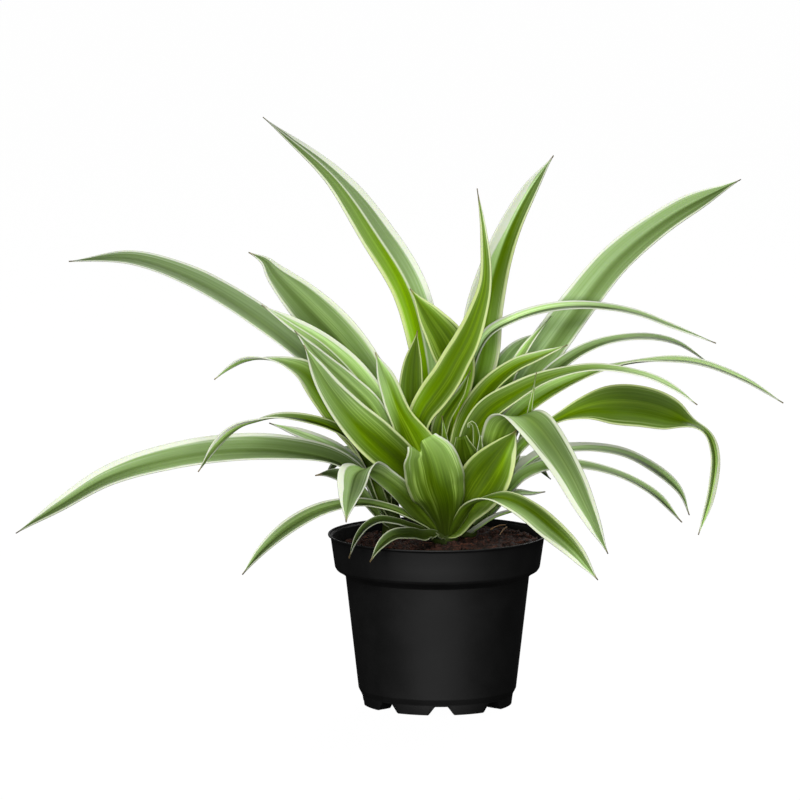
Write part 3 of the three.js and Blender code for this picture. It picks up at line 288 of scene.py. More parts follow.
# How each leaf looks. Lists run from root to tip at even steps. tone: 0 bluish green to 1 bright yellow
# green. light: painted light and shade, a factor on the brightness of its green, low where it lies in shade
# near the crowns and under other leaves and high where light falls on it; on the pale leaves it also makes
# their own paler colour. The other tone and light lists: the same for its right half, where that differs,
# with the painted shade of a fold. rim: pale margin in mm, on its left and right edge. vein: width of a
# pale line along the midrib. stripe: strength of its fine lines. pleat: depth of its soft folds. notch:
# a torn tip.
# crinkle: a worn margin near the base. dry: length of its dry tip. What a leaf leaves out, or a leaf
# that isn't listed, follows PLAIN_LOOK.
LOOKS = {
    "front_shield": dict(tone=[1, 1, 0.9, 0.6, 0.3], light=[0.1, 0.16, 0.52, 0.86, 1.36, 1.8],
        other_tone=[1, 1, 0.95, 0.8, 0.5], other_painted_light=[0.08, 0.08, 0.34, 0.52, 0.92, 1.3], rim=(1, 0.9),
        stripe=1.4, pleat=0.3, notch=True),
    "right_cup": dict(tone=[1, 1, 1], light=[0.45, 0.75, 0.66, 0.55, 0.7, 1], other_tone=[1, 0.9, 1, 0.8],
        other_painted_light=[0.4, 0.55, 0.66, 0.62, 1.35, 1.8], rim=([0.5, 0.8, 1, 1], [0.5, 1, 2.4, 3.4]),
        stripe=0.5),
    "low_right_arch": dict(tone=[1, 1, 0.85, 0.9, 0.8, 0.4], light=[0.05, 0.3, 0.66, 0.44, 0.66, 1.05],
        other_tone=[1, 1, 0.6, 0.5, 0.5, 0.2], other_painted_light=[0.06, 0.46, 1.05, 0.85, 0.8, 2],
        rim=([0.4, 0.5, 0.7, 1.4, 2], [0.4, 0.6, 1.2, 1.8, 3])),
    "left_drooping": dict(tone=[0.9, 0.8, 0.6, 0.35, 0.4, 0.2], light=[0.2, 0.5, 0.42, 1.1, 0.42, 1.15],
        other_tone=[1, 0.9, 0.7, 0.4, 0.2, 0.2], other_painted_light=[0.15, 0.34, 0.55, 2.1, 1.1, 1.4],
        rim=([0.6, 0.8, 0.9, 0.8, 1], [0.4, 0.5, 0.6, 1.4, 3.6, 4.2])),
    "low_left_arch": dict(tone=[0.8, 0.7, 0.5, 0.45, 0.4], light=[0.06, 0.5, 0.66, 0.46, 0.28],
        other_tone=[0.8, 0.7, 0.5, 0.4, 0.2], other_painted_light=[0.4, 0.72, 0.8, 0.75, 1.5], rim=(0.7, 1.4)),
    "low_left_small": dict(tone=[0.6, 0.5, 0.5], light=[0.08, 0.09, 0.24, 0.1, 0.05],
        other_tone=[0.8, 0.7, 0.6], other_painted_light=[0.08, 0.07, 0.22, 0.26, 0.1], rim=(0.6, 0.8)),
    "low_left_withered": dict(tone=[0.7, 0.7, 0.7], light=[0.24, 0.2, 0.16, 0.14, 0.2, 0.2],
        other_tone=[0.6, 0.6, 0.6], other_painted_light=[0.24, 0.2, 0.16, 0.18, 0.5, 0.3], rim=(0.6, 0.9),
        crinkle=True),
    "left_blade": dict(tone=[1, 0.95, 0.95, 0.55, 0.5], light=[0.3, 0.36, 0.68, 1.1, 1.2, 1],
        other_tone=[1, 1, 0.85, 0.5, 0.4], other_painted_light=[0.3, 0.36, 0.5, 1.1, 1, 1.9],
        rim=(1.5, [0.5, 0.8, 1.4, 1.8])),
    "centre_left": dict(tone=[0.8, 0.8, 1, 0.5, 0.3], light=[1.6, 2.6, 0.85, 1.8, 1.5],
        other_tone=[0.8, 0.8, 1, 0.8, 0.2], other_painted_light=[1.8, 2.6, 1.3, 1.5, 3],
        rim=(1, [0.5, 0.6, 1.2, 2.4])),
    "centre_tall": dict(tone=[0.8, 1, 1, 0.8], light=[2.2, 1.8, 0.95, 1.05, 0.95],
        other_tone=[1, 1, 1, 0.9, 0.6], other_painted_light=[0.45, 0.56, 0.7, 0.95, 0.85, 1.5],
        rim=([0.8, 1.6, 2, 2], [1, 1.2, 1.4, 1.4]), dry=12),
    "centre_narrow": dict(tone=[1, 1, 0.9, 0.6], light=[0.7, 0.85, 0.75, 1.6, 2], other_tone=[1, 1],
        other_painted_light=[0.7, 0.6, 0.5, 0.7, 1], rim=([0.5, 0.6, 1.8, 3], 0.5)),
    "upright_left": dict(tone=[1, 0.9, 1], light=[0.9, 1.2, 0.85, 0.65], other_tone=[1],
        other_painted_light=[0.9, 1, 0.66, 0.6], rim=(0.9, 0.8), stripe=0.3),
    "short_broad": dict(tone=[0.9, 0.9, 1, 0.9], light=[0.8, 0.9, 0.6, 1.1], other_tone=[0.9, 1, 1, 0.9],
        other_painted_light=[0.8, 1.4, 3.4, 0.8, 2], rim=(1, [0.6, 0.8, 1.4]), stripe=0.9),
    "right_71": dict(tone=[0.9, 1, 0.9, 0.5], light=[0.9, 1, 0.7, 1.2, 2], other_tone=[1, 1, 1, 0.7],
        other_painted_light=[0.6, 0.64, 0.6, 0.9, 1.2], rim=(1.3, [0.3, 0.4, 0.8, 1.2])),
    "right_arch_big": dict(tone=[1, 0.9, 0.6, 0.5, 0.4, 0.3], light=[0.8, 1.15, 1.25, 0.62, 0.72, 0.95],
        other_tone=[1, 0.9, 0.5, 0.45, 0.35, 0.25], other_painted_light=[0.2, 0.2, 1.6, 0.76, 0.95, 1.15],
        rim=([0.6, 0.8, 1.4, 1.8, 1.8], [0.8, 1, 2, 3, 3]), stripe=0.35),
    "right_long_142": dict(tone=[0.8, 0.9, 0.6, 0.2], light=[0.4, 0.55, 0.95, 1.6, 2],
        other_tone=[0.8, 0.9, 0.5, 0.2], other_painted_light=[0.8, 0.9, 1.1, 1.4, 1.8],
        rim=([0.4, 0.8, 1.4, 1.6], 1)),
    "right_long_189": dict(tone=[0.6, 0.6, 0.4, 0.2], light=[3, 3, 1.7, 1.5, 1.9],
        other_tone=[0.8, 1, 0.4, 0.1], other_painted_light=[3, 3, 1.2, 0.5, 0.6], rim=(1.4, 0.8)),
    "right_149": dict(tone=[0.7, 0.5, 0.2, 0.1], light=[0.8, 1, 0.95, 1.1, 1.5],
        other_tone=[0.7, 0.5, 0.3, 0.2], other_painted_light=[0.8, 0.9, 0.72, 0.6, 0.25], rim=(1.2, 0.4)),
    "right_tall": dict(tone=[0.4, 0, 0, 0, 0.1], light=[0.9, 1.6, 1.4, 1.2, 1.2],
        other_tone=[0.6, 0.5, 0.35, 0.4, 0.5], other_painted_light=[0.8, 1.2, 1, 0.8, 0.5], rim=(1.4, 0.8),
        stripe=0.35),
    "right_inner_narrow": dict(tone=[0.8, 0.8, 0.4], light=[1.2, 2.2, 2.4, 1.5],
        other_painted_light=[1.2, 2.2, 1.5, 1], rim=(1.4, 1.2)),
    "right_bulge": dict(tone=[0.6, 0.6, 0.95, 0.95, 0.7, 0.5], light=[3, 3.4, 1.4, 0.66, 0.6, 1.8, 3.4],
        other_tone=[0.6, 0.6, 0.9, 0.9, 0.7, 0.5], other_painted_light=[3, 3.4, 1.3, 0.66, 0.76, 1, 2.4],
        rim=([0.8, 2.2, 1.4, 0.8, 0.8, 1.4, 3, 4], [0.8, 2, 1.2, 0.7, 0.6, 0.6, 1, 1.6]), stripe=0.3),
    "right_low_138": dict(tone=[0.2, 0.2, 0.3, 0.2], light=[2, 4, 1.8, 1, 2],
        other_tone=[0.4, 0.3, 0.5, 0.3], other_painted_light=[1, 1.6, 1.5, 0.32, 0.9], rim=([4, 5, 2, 1.3], 0.8),
        stripe=0.3),
    "right_low_134": dict(tone=[0.5, 0.4, 0.2], light=[1, 1.5, 1.7, 0.95, 1, 1.4],
        other_tone=[0.4, 0.4, 0.4, 0.3], other_painted_light=[3, 4, 1.6, 0.8, 0.34, 0.3],
        rim=(1.1, [1.8, 1.6, 0.8, 0.7]), stripe=0.3),
    "right_low_59": dict(tone=[0.1], light=[1.2, 2, 3], rim=(4, 2)),
    "right_low_pale": dict(tone=[0.2, 0], light=[1, 3, 4], rim=(9, 9)),
    "left_twist": dict(tone=[0.9, 0.9, 0.95, 0.4, 0], light=[0.15, 1.4, 1.3, 1.3, 2.4],
        rim=([0.8, 1, 1.2, 2.6, 6], [1, 1.2, 1.2, 1.8, 6])),
    "left_arch_131": dict(tone=[0.8, 0.8, 0.9, 0.3, 0.4], light=[0.3, 0.5, 0.4, 0.5, 2.4, 0.4],
        other_tone=[0.8, 0.8, 0.9, 0.4, 0.3], other_painted_light=[0.1, 1, 0.7, 0.75, 1.6, 0.6],
        rim=([0.4, 0.5, 0.5, 0.6, 3, 2], [0.5, 0.8, 1.3, 1.8, 1.3])),
    "left_long_low": dict(tone=[0.5, 0.4, 0.25, 0.35, 0.5], light=[0.3, 0.32, 0.88, 1.02, 0.54, 0.4],
        other_tone=[0.5, 0.4, 0.15, 0.1, 0.3], other_painted_light=[0.8, 0.42, 0.86, 1, 1.1, 0.66],
        rim=([0.5, 0.6, 0.9, 1.1, 1.1], [0.6, 0.8, 1.2, 2.4, 3, 3, 1.6])),
    "left_behind": dict(tone=[0.1], light=[0.5, 1.4, 1.8], other_painted_light=[0.5, 1.6, 2.4],
        rim=([0.6, 1, 1.6], [0.8, 1.6, 4])),
    "left_low_short": dict(tone=[0.5, 0.4], light=[0.5, 0.9, 0.6, 0.1], rim=(0.4, 0.6)),
    "left_mid_pale": dict(tone=[0.9, 0.9, 0.4, 0.1], light=[0.8, 1.1, 1.3, 1.7],
        other_tone=[0.7, 0.6, 0.4, 0.3], other_painted_light=[1.1, 1.6, 1.3, 1], rim=(1.6, 1.1)),
    "left_folded": dict(tone=[0.7, 0.7, 0.5, 0.3], light=[0.8, 0.9, 1, 2], other_tone=[0.8, 0.6, 0.4, 0.2],
        other_painted_light=[1, 1.5, 1.9, 1.3], rim=(1.5, [0.4, 0.6, 1.8, 2.4]), vein=0.9),
    "left_upper_broad": dict(tone=[0.6, 0.5, 0.45, 0.2], light=[0.6, 0.7, 0.7, 0.9],
        other_tone=[0.8, 0.5, 0.4, 0.3], other_painted_light=[0.7, 0.7, 1.1, 0.9, 0.65], rim=(1.3, 2.4)),
    "left_long_upper": dict(tone=[0.5, 0.4, 0.3, 0.15, 0.1], light=[0.8, 1.15, 1.05, 0.82, 0.64, 0.55],
        other_tone=[0.4, 0.2, 0.1, 0.1, 0.1], other_painted_light=[0.8, 1.1, 0.85, 0.72, 0.7, 0.5], rim=(0.8, 1.3),
        stripe=0.2),
    "top_left_tall": dict(tone=[0.9, 0.95, 1, 0.6, 0.4], light=[2.6, 2.6, 2, 1.3, 0.8, 0.3],
        other_tone=[0.4, 0.2, 0.1, 0.1, 0.1], other_painted_light=[2.4, 2.6, 1.5, 0.85, 0.66, 0.2],
        rim=([1, 1.4, 2, 1.4, 0.8], [1.6, 2.6, 3, 3, 2.4]), vein=0.6, stripe=0.6),
    "upright_right": dict(tone=[0.7, 0.4, 0.3, 0], light=[1, 1.5, 1.5, 1.6, 1.5],
        other_tone=[0.9, 0.8, 0.8, 0.95, 0.4], other_painted_light=[1, 1.2, 2, 0.85, 0.7, 0.7],
        rim=([1.4, 1.8, 3, 5, 6], [1.4, 2, 2, 1.2, 0.7])),
    "right_thin_arc": dict(tone=[0.2, 0.1, 0.1], light=[1.2, 2.2, 2.4, 1.4, 1], other_tone=[0.3, 0.3, 0.2],
        other_painted_light=[1, 1, 0.62, 0.5, 1.2], rim=(1.6, 0.7)),
    "right_inner": dict(tone=[0.5, 0.3, 0.1], light=[1.2, 2.6, 1], rim=(1.6, 1.6)),
    "front_young": dict(tone=[0.8], light=[0.6, 1.4], rim=(0.3, 0.3)),
    "right_young_broad": dict(tone=[1, 0.9], light=[0.4, 0.5, 0.65], rim=(0.6, 0.5)),
    "right_young_curled": dict(tone=[1, 0.8], light=[0.4, 0.5, 0.8], rim=(0.5, 0.7)),
    "right_young_small": dict(tone=[0.6], light=[0.5, 0.8], rim=(0.6, 0.6)),
    "right_young_thin": dict(tone=[0.8], light=[1.2, 1.8], rim=(0.4, 0.4)),
    "left_young": dict(tone=[0.9], light=[0.5], rim=(0.4, 0.4)),
    "back_young": dict(tone=[0.9], light=[0.5], rim=(0.4, 0.4)),
}
PLAIN_LOOK = dict(tone=[0.5, 0.3, 0.15], light=[0.6, 1, 1, 0.8], rim=(1.6, 1.6), vein=0, stripe=0.5,
    pleat=0.1, notch=False, crinkle=False)


# ---- small tools -------------------------------------------------------------------------------
def linear(code):
    """A colour written as six hex digits, in the renderer's light values."""
    shares = [int(code[i:i + 2], 16) / 255 for i in (0, 2, 4)]
    return [s / 12.92 if s <= 0.04045 else ((s + 0.055) / 1.055) ** 2.4 for s in shares] + [1]


def along(values, u):
    """Value of a list read at even steps, on a smooth curve."""
    if len(values) == 1:
        return values[0]
    last = len(values) - 1
    i = min(int(u * last), last - 1)
    t = u * last - i
    a, b, c, d = (values[min(max(k, 0), last)] for k in (i - 1, i, i + 1, i + 2))
    rise, fall = (c - a) / 2, (d - b) / 2
    return b + t * (rise + t * (3 * (c - b) - 2 * rise - fall + t * (2 * (b - c) + rise + fall)))


def blend(a, b, share):
    return a + (b - a) * share


def smooth_step(low, high, value):
    t = min(max((value - low) / (high - low), 0), 1)
    return t * t * (3 - 2 * t)


def ripple(x, y):
    """Soft random value from -1 to 1."""
    return noise.noise(Vector((x, y, 0.37)))


def finish_mesh(name, bm, materials, smooth=True):
    """Turns a bmesh in millimetres from the pot's axis into a piece of the scene."""
    mesh = bpy.data.meshes.new(name)
    bm.to_mesh(mesh)
    bm.free()
    mesh.transform(Matrix.Scale(MM, 4) @ Matrix.Translation(POT_AXIS))
    for material in materials:
        mesh.materials.append(material)
    if smooth:
        mesh.shade_smooth()
    piece = bpy.data.objects.new(name, mesh)
    bpy.context.collection.objects.link(piece)
    return piece


# ---- leaves ------------------------------------------------------------------------------------
class Spine:
    """A smooth curve from the crown's axis through a leaf's readings, read by length."""
    STEPS = 40  # samples between two readings

    def __init__(self, leaf):
        x, y, _, _ = CROWNS[leaf["crown"]]
        self.points = [Vector((x, y, leaf["root"]))] + [sighted(r) for r in leaf["spine"]]
        count = (len(self.points) - 1) * self.STEPS
        self.samples = [self.curve(i / count) for i in range(count + 1)]
        self.marks = [0]
        for a, b in zip(self.samples, self.samples[1:]):
            self.marks.append(self.marks[-1] + (b - a).length)
        self.length = self.marks[-1]

    def curve(self, t):
        """Point at a share t of the readings, on a spline that allows for their uneven distances."""
        points = self.points
        place = t * (len(points) - 1)
        i = min(int(place), len(points) - 2)
        b, c = points[i], points[i + 1]
        a = points[i - 1] if i > 0 else 2 * b - c
        d = points[i + 2] if i + 2 < len(points) else 2 * c - b
        before, here, after = ((q - p).length ** 0.5 for p, q in ((a, b), (b, c), (c, d)))
        leave = ((b - a) / before - (c - a) / (before + here) + (c - b) / here) * here
        arrive = ((c - b) / here - (d - b) / (here + after) + (d - c) / after) * here
        w = place - i
        return b + w * (leave + w * (3 * (c - b) - 2 * leave - arrive + w * (2 * (b - c) + leave + arrive)))

    def at(self, u):
        """Point and direction at a share u of the length."""
        want = u * self.length
        low, high = 0, len(self.marks) - 1
        while high - low > 1:
            middle = (low + high) // 2
            low, high = (middle, high) if self.marks[middle] <= want else (low, middle)
        share = (want - self.marks[low]) / (self.marks[high] - self.marks[low])
        point = self.samples[low].lerp(self.samples[high], share)
        first = self.samples[max(low - 2, 0)]
        second = self.samples[min(high + 2, len(self.samples) - 1)]
        return point, (second - first).normalized()


def blade_frame(leaf, spine, u):
    """Point, sideways direction and upper-face normal of a blade."""
    point, tangent = spine.at(u)
    if "tilt" in leaf:
        tilt = math.radians(along(leaf["tilt"], u))
        across = TO_VIEWER.cross(tangent).normalized()
        towards = tangent.cross(across)
        side = across * math.cos(tilt) + towards * math.sin(tilt)
    elif "side" in leaf:
        across, up, near = (along([way[k] for way in leaf["side"]], u) for k in range(3))
        side = Vector((across, 0, up)) + TO_VIEWER * near
        side = (side - tangent * side.dot(tangent)).normalized()
    else:
        side = UP.cross(tangent).normalized()
    return point, side, tangent.cross(side)


# Lengths are in mm. A pair (from, to) says over which distance an effect sets in: from the leaf's
# root, or before its tip for the names that begin with TIP.
BLADE_COLUMNS = 20
BLADE_ROW = 2.2  # between two rows of faces
BLADE_FEWEST_ROWS = 18
MIDRIB_ROUND = 0.22  # how softly the two halves meet, as a share of the half width
MIDRIB_SHADE = 0.12  # how far the looks of the two halves run into each other
PLEATS = 4  # soft folds in each half of a blade
PLEAT_FULL = 8  # half width from which they have their full depth
WAVE = 0.5  # how far a margin waves up and down
WAVE_LENGTH = 26
WAVE_FREE = (20, 60)
WAVE_FULL = 5  # half width from which a margin waves in full
RIM_FULL = 7  # half width from which a pale margin has its full width
RIM_NARROWEST = 0.35  # share of that width on a thread-like blade
RIM_FREE = (25, 75)
RIM_ROOT = 0.4  # share of a margin's width at the root
RIM_MOST = (0.7, 0.3)  # share of a half that the margin covers at most, along the blade and at its tip
TIP_FADE = (30, 5)
TIP_LIGHT = 0.8  # light left at the tip
DARKEST = 0.04
DRY_TIP = 4  # length of the dry hair
VEIN_FREE = (20, 50)
PAINTED_SHADE_END = (12, 50)  # where the painted shade at a leaf's base gives way to the blade's own green
WORN_FROM = (8, 16)
WORN_TO = (30, 40)
WORN_LIFT = (2.2, 3.4)  # height and length of a worn margin's crinkles
WORN_SPREAD = (1.5, 2.6)  # and how far they stand out sideways
TORN_FROM = 0.86  # share of the length from which a notch cuts in
TORN_PLACE = 0.42  # its place in the right half
TORN_WIDTH = 0.22
TORN_DEPTH = 5.5

# what is laid down on each blade's mesh for the leaf pattern, with the pattern's own input names
LEAF_MARKS = ("edge", "tone", "light", "vein", "stripe", "seed", "dry", "painted_base_shade")


def crinkles(distance, share, seed):
    """Lift and sideways spread of a worn margin near a leaf's base."""
    worn = smooth_step(*WORN_FROM, distance) * (1 - smooth_step(*WORN_TO, distance)) * share ** 3
    lift = worn * WORN_LIFT[0] * ripple(distance / WORN_LIFT[1], seed)
    spread = worn * WORN_SPREAD[0] * ripple(distance / WORN_SPREAD[1], seed + 9)
    return lift, spread


def margin_width(rim, u, distance, half):
    """Width of a pale margin: narrower near the root and on a narrow blade."""
    if isinstance(rim, list):
        wide = along(rim, u)
    else:
        wide = rim * blend(RIM_ROOT, 1, smooth_step(*RIM_FREE, distance))
    return wide * blend(RIM_NARROWEST, 1, min(half / RIM_FULL, 1))


def leaf_piece(name, leaf, look, seed):
    """One blade: a grid bent along its spine, marked for the leaf pattern, with a thickness."""
    look = PLAIN_LOOK | look
    spine = Spine(leaf)
    width = leaf["width"]
    widths = width if isinstance(width, list) else [share * width for share in BLADE]
    folds = leaf.get("fold", FOLD)
    tones, lights = look["tone"], look["light"]
    other_tones = look.get("other_tone", tones)
    other_painted_lights = look.get("other_painted_light", lights)
    dry = look.get("dry", DRY_TIP if widths[-1] == 0 else 0)
    rows = max(BLADE_FEWEST_ROWS, round(spine.length / BLADE_ROW))
    from_tip = (spine.samples[-9] - spine.samples[-1]).normalized()

    bm = bmesh.new()
    bm.loops.layers.uv.new("UVMap")
    bmesh.ops.create_grid(bm, x_segments=BLADE_COLUMNS, y_segments=rows, size=1, calc_uvs=True)
    layers = {key: bm.verts.layers.float.new(key) for key in LEAF_MARKS}
    reach = math.sqrt(1 + MIDRIB_ROUND ** 2) - MIDRIB_ROUND
    frames = {}
    for vert in bm.verts:
        u = (vert.co.y + 1) / 2
        side_share = -vert.co.x
        row = round(u * rows)
        if row not in frames:
            frames[row] = blade_frame(leaf, spine, u)
        point, side, normal = frames[row]
        distance = u * spine.length
        share = abs(side_share)
        hand = 1 if side_share > 0 else -1

        # the blade's section: two halves folded up from the midrib, pleated and softly waved
        half = max(along(widths, u), HAIR_TIP) / 2
        fold = math.radians(along(folds, u))
        bend = (math.sqrt(share ** 2 + MIDRIB_ROUND ** 2) - MIDRIB_ROUND) / reach
        out = half * math.cos(fold) * side_share
        lift = half * math.sin(fold) * bend
        free = smooth_step(*WAVE_FREE, distance) * smooth_step(0, WAVE_FULL, half)
        lift += free * WAVE * share ** 2 * ripple(distance / WAVE_LENGTH + seed * 3.1, hand * 4 + seed)
        lift += min(half / PLEAT_FULL, 1) * look["pleat"] * math.cos(share * PLEATS * math.tau)
        if look["crinkle"] and hand > 0:
            raised, spread = crinkles(distance, share, seed)
            lift += raised
            out += spread
        if look["notch"]:
            torn = smooth_step(TORN_FROM, 1, u) * math.exp(-((side_share + TORN_PLACE) / TORN_WIDTH) ** 2)
            point = point + from_tip * TORN_DEPTH * torn
        vert.co = point + side * out + normal * lift

        rim = margin_width(look["rim"][0 if hand > 0 else 1], u, distance, half)
        end = smooth_step(spine.length - TIP_FADE[0], spine.length - TIP_FADE[1], distance)
        left = smooth_step(-MIDRIB_SHADE, MIDRIB_SHADE, side_share)
        # painted light and shade: the two halves' light lists blended across the midrib, kept above DARKEST
        light = max(blend(along(other_painted_lights, u), along(lights, u), left), DARKEST)
        vein = 0
        if look["vein"]:
            vein = (1 - smooth_step(0, look["vein"] / half, share)) * smooth_step(*VEIN_FREE, distance)
        marks = dict(
            edge=share - 1 + min(rim / half, blend(*RIM_MOST, end)),
            tone=blend(along(other_tones, u), along(tones, u), left),
            light=light * blend(1, TIP_LIGHT, end),
            vein=vein,
            stripe=look["stripe"],
            seed=seed,
            dry=smooth_step(spine.length - dry, spine.length, distance) if dry else 0,
            painted_base_shade=1 - smooth_step(*PAINTED_SHADE_END, distance))
        for key, value in marks.items():
            vert[layers[key]] = value
    piece = finish_mesh(name, bm, [LEAF_UPPER, LEAF_UNDER])
    skin = piece.modifiers.new("thickness", "SOLIDIFY")
    skin.thickness = LEAF_SKIN * MM
    skin.offset = 0
    skin.material_offset = 1
    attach(piece, "root")
    return piece


# ---- materials ---------------------------------------------------------------------------------
# the colour sockets of a Mix node, which share their names with its other kinds
MIX_FIRST = 6
MIX_SECOND = 7
MIX_RESULT = 2


def new_group(name, inputs, outputs):
    """A shader group with (name, kind, value) inputs and (name, kind) outputs."""
    group = bpy.data.node_groups.new(name, "ShaderNodeTree")
    for label, kind, value in inputs:
        socket = group.interface.new_socket(label, in_out="INPUT", socket_type="NodeSocket" + kind)
        socket.default_value = value
    for label, kind in outputs:
        group.interface.new_socket(label, in_out="OUTPUT", socket_type="NodeSocket" + kind)
    return group, group.nodes.new("NodeGroupInput"), group.nodes.new("NodeGroupOutput")


def wire(tree, source, target):
    """Links a socket to a socket, or writes a plain value on it."""
    if isinstance(source, bpy.types.NodeSocket):
        tree.links.new(source, target)
    else:
        target.default_value = source


def calc(tree, operation, a, b, clamp=False):
    node = tree.nodes.new("ShaderNodeMath")
    node.operation = operation
    node.use_clamp = clamp
    wire(tree, a, node.inputs[0])
    wire(tree, b, node.inputs[1])
    return node.outputs[0]


def ramp(tree, value, low, high, to_low=0.0, to_high=1.0, kind="SMOOTHSTEP"):
    node = tree.nodes.new("ShaderNodeMapRange")
    node.interpolation_type = kind
    for setting, socket in zip((value, low, high, to_low, to_high), node.inputs):
        wire(tree, setting, socket)
    return node.outputs[0]


def mix(tree, share, a, b, blend_type="MIX"):
    node = tree.nodes.new("ShaderNodeMix")
    node.data_type = "RGBA"
    node.blend_type = blend_type
    wire(tree, share, node.inputs["Factor"])
    wire(tree, a, node.inputs[MIX_FIRST])
    wire(tree, b, node.inputs[MIX_SECOND])
    return node.outputs[MIX_RESULT]


def cloud(tree, vector, scale, detail=2.0, roughness=0.5):
    node = tree.nodes.new("ShaderNodeTexNoise")
    node.inputs["Scale"].default_value = scale
    node.inputs["Detail"].default_value = detail
    node.inputs["Roughness"].default_value = roughness
    tree.links.new(vector, node.inputs["Vector"])
    return node.outputs["Fac"]


def attribute(tree, name):
    node = tree.nodes.new("ShaderNodeAttribute")
    node.attribute_name = name
    return node.outputs["Fac"]


def object_place(tree):
    return tree.nodes.new("ShaderNodeTexCoord").outputs["Object"]


def new_material(name):
    material = bpy.data.materials.new(name)
    material.use_nodes = True
    return material, material.node_tree, material.node_tree.nodes["Principled BSDF"]


def add_relief(tree, shader, height, strength, depth):
    """Fine relief from a pattern's height. depth is in metres."""
    bump = tree.nodes.new("ShaderNodeBump")
    bump.inputs["Strength"].default_value = strength
    bump.inputs["Distance"].default_value = depth
    tree.links.new(height, bump.inputs["Height"])
    tree.links.new(bump.outputs["Normal"], shader.inputs["Normal"])


def leaf_pattern():
    """Lengthwise stripes, pale margins, painted light and shade, painted shade at the base and dry tip of a
    variegated leaf.
    """
    group, given, result = new_group("Striped leaf", [
        ("Across", "Float", 0.5), ("Along", "Float", 0.5), ("Edge", "Float", -1.0), ("Tone", "Float", 0.5),
        ("Light", "Float", 1.0), ("Vein", "Float", 0.0), ("Stripe", "Float", 0.5), ("Seed", "Float", 0.0),
        ("Dry", "Float", 0.0), ("Painted_base_shade", "Float", 0.0),
        ("Cool", "Color", linear("859c6e")), ("Cool shade", "Color", linear("708753")),
        ("Cool stripe", "Color", linear("a2b888")),
        ("Warm", "Color", linear("5c7c00")), ("Warm shade", "Color", linear("4a6500")),
        ("Warm stripe", "Color", linear("82a01c")),
        ("Margin", "Color", linear("cbd1bf")), ("Margin warm", "Color", linear("b2c07c")),
        ("Painted shade green", "Color", linear("3d4d12")), ("Straw", "Color", linear("85704c"))],
        [("Color", "Color"), ("Roughness", "Float"), ("Height", "Float")])
    across, length, edge, tone, light, seed = (
        given.outputs[key] for key in ("Across", "Along", "Edge", "Tone", "Light", "Seed"))

    def times(a, b, clamp=False):
        return calc(group, "MULTIPLY", a, b, clamp)

    def fades(value, low, high, to_low=0.0, to_high=1.0):
        return ramp(group, value, low, high, to_low, to_high)

    # three noises drawn out along the blade, each leaf with its own
    lane = calc(group, "ADD", across, times(seed, 7.3))

    def streaks(stretch, scale, detail, roughness=0.5):
        place = group.nodes.new("ShaderNodeCombineXYZ")
        for value, socket in zip((lane, times(length, stretch), seed), place.inputs):
            group.links.new(value, socket)
        return cloud(group, place.outputs[0], scale, detail, roughness)

    band = streaks(0.25, 5.0, 1.0)
    line = streaks(0.05, 34.0, 2.0, 0.6)
    fleck = streaks(0.6, 9.0, 2.0)

    # two greens, each with a deeper shade and paler stripes
    streak = fades(line, 0.36, 0.66)
    share = calc(group, "ADD", times(fades(band, 0.38, 0.64), 0.62), times(streak, 0.38))
    stripe = times(fades(band, 0.5, 0.68), fades(line, 0.4, 0.6))
    stripe = times(stripe, given.outputs["Stripe"], clamp=True)
    cool = mix(group, share, given.outputs["Cool shade"], given.outputs["Cool"])
    cool = mix(group, stripe, cool, given.outputs["Cool stripe"])
    warm = mix(group, share, given.outputs["Warm shade"], given.outputs["Warm"])
    warm = mix(group, stripe, warm, given.outputs["Warm stripe"])

    # deeper and warmer along the middle of each half, paler towards its margin, and darkened or lightened
    # all over by the painted light and shade of the Light mark
    hue = calc(group, "ADD", tone, fades(edge, -0.95, -0.1, 0.2, -0.1), clamp=True)
    depth = times(light, fades(edge, -0.95, -0.1, 0.82, 1.08))
    green = mix(group, 1.0, mix(group, hue, cool, warm), depth, "MULTIPLY")

    # the pale margin, yellower on a yellow leaf and darkened by painted shade where the leaf's painted
    # light is low
    yellow = calc(group, "POWER", tone, 2.0)
    margin = mix(group, yellow, given.outputs["Margin"], given.outputs["Margin warm"])
    margin_painted_shade = calc(group, "MINIMUM", calc(group, "POWER", light, 0.4), 1.0)
    margin = mix(group, 1.0, margin, margin_painted_shade, "MULTIPLY")

    # where it lies: past an uneven border, in threads inside it, and along a pale midrib
    border = calc(group, "ADD", edge, times(calc(group, "SUBTRACT", fleck, 0.5), 0.16))
    threads = times(fades(border, -0.3, -0.05), fades(line, 0.5, 0.72))
    pale = calc(group, "MAXIMUM", fades(border, -0.05, 0.05), times(threads, 0.45))
    pale = calc(group, "MAXIMUM", pale, times(given.outputs["Vein"], 0.8))
    blade = mix(group, pale, green, margin)
    # painted shade near the crown: a dark green laid at half strength over the base of each blade
    blade = mix(group, times(given.outputs["Painted_base_shade"], 0.5), blade, given.outputs["Painted shade green"])
    blade = mix(group, given.outputs["Dry"], blade, given.outputs["Straw"])

    group.links.new(blade, result.inputs["Color"])
    group.links.new(ramp(group, streak, 0.0, 1.0, 0.46, 0.38, "LINEAR"), result.inputs["Roughness"])
    group.links.new(calc(group, "ADD", times(line, 0.7), times(band, 0.3)), result.inputs["Height"])
    return group


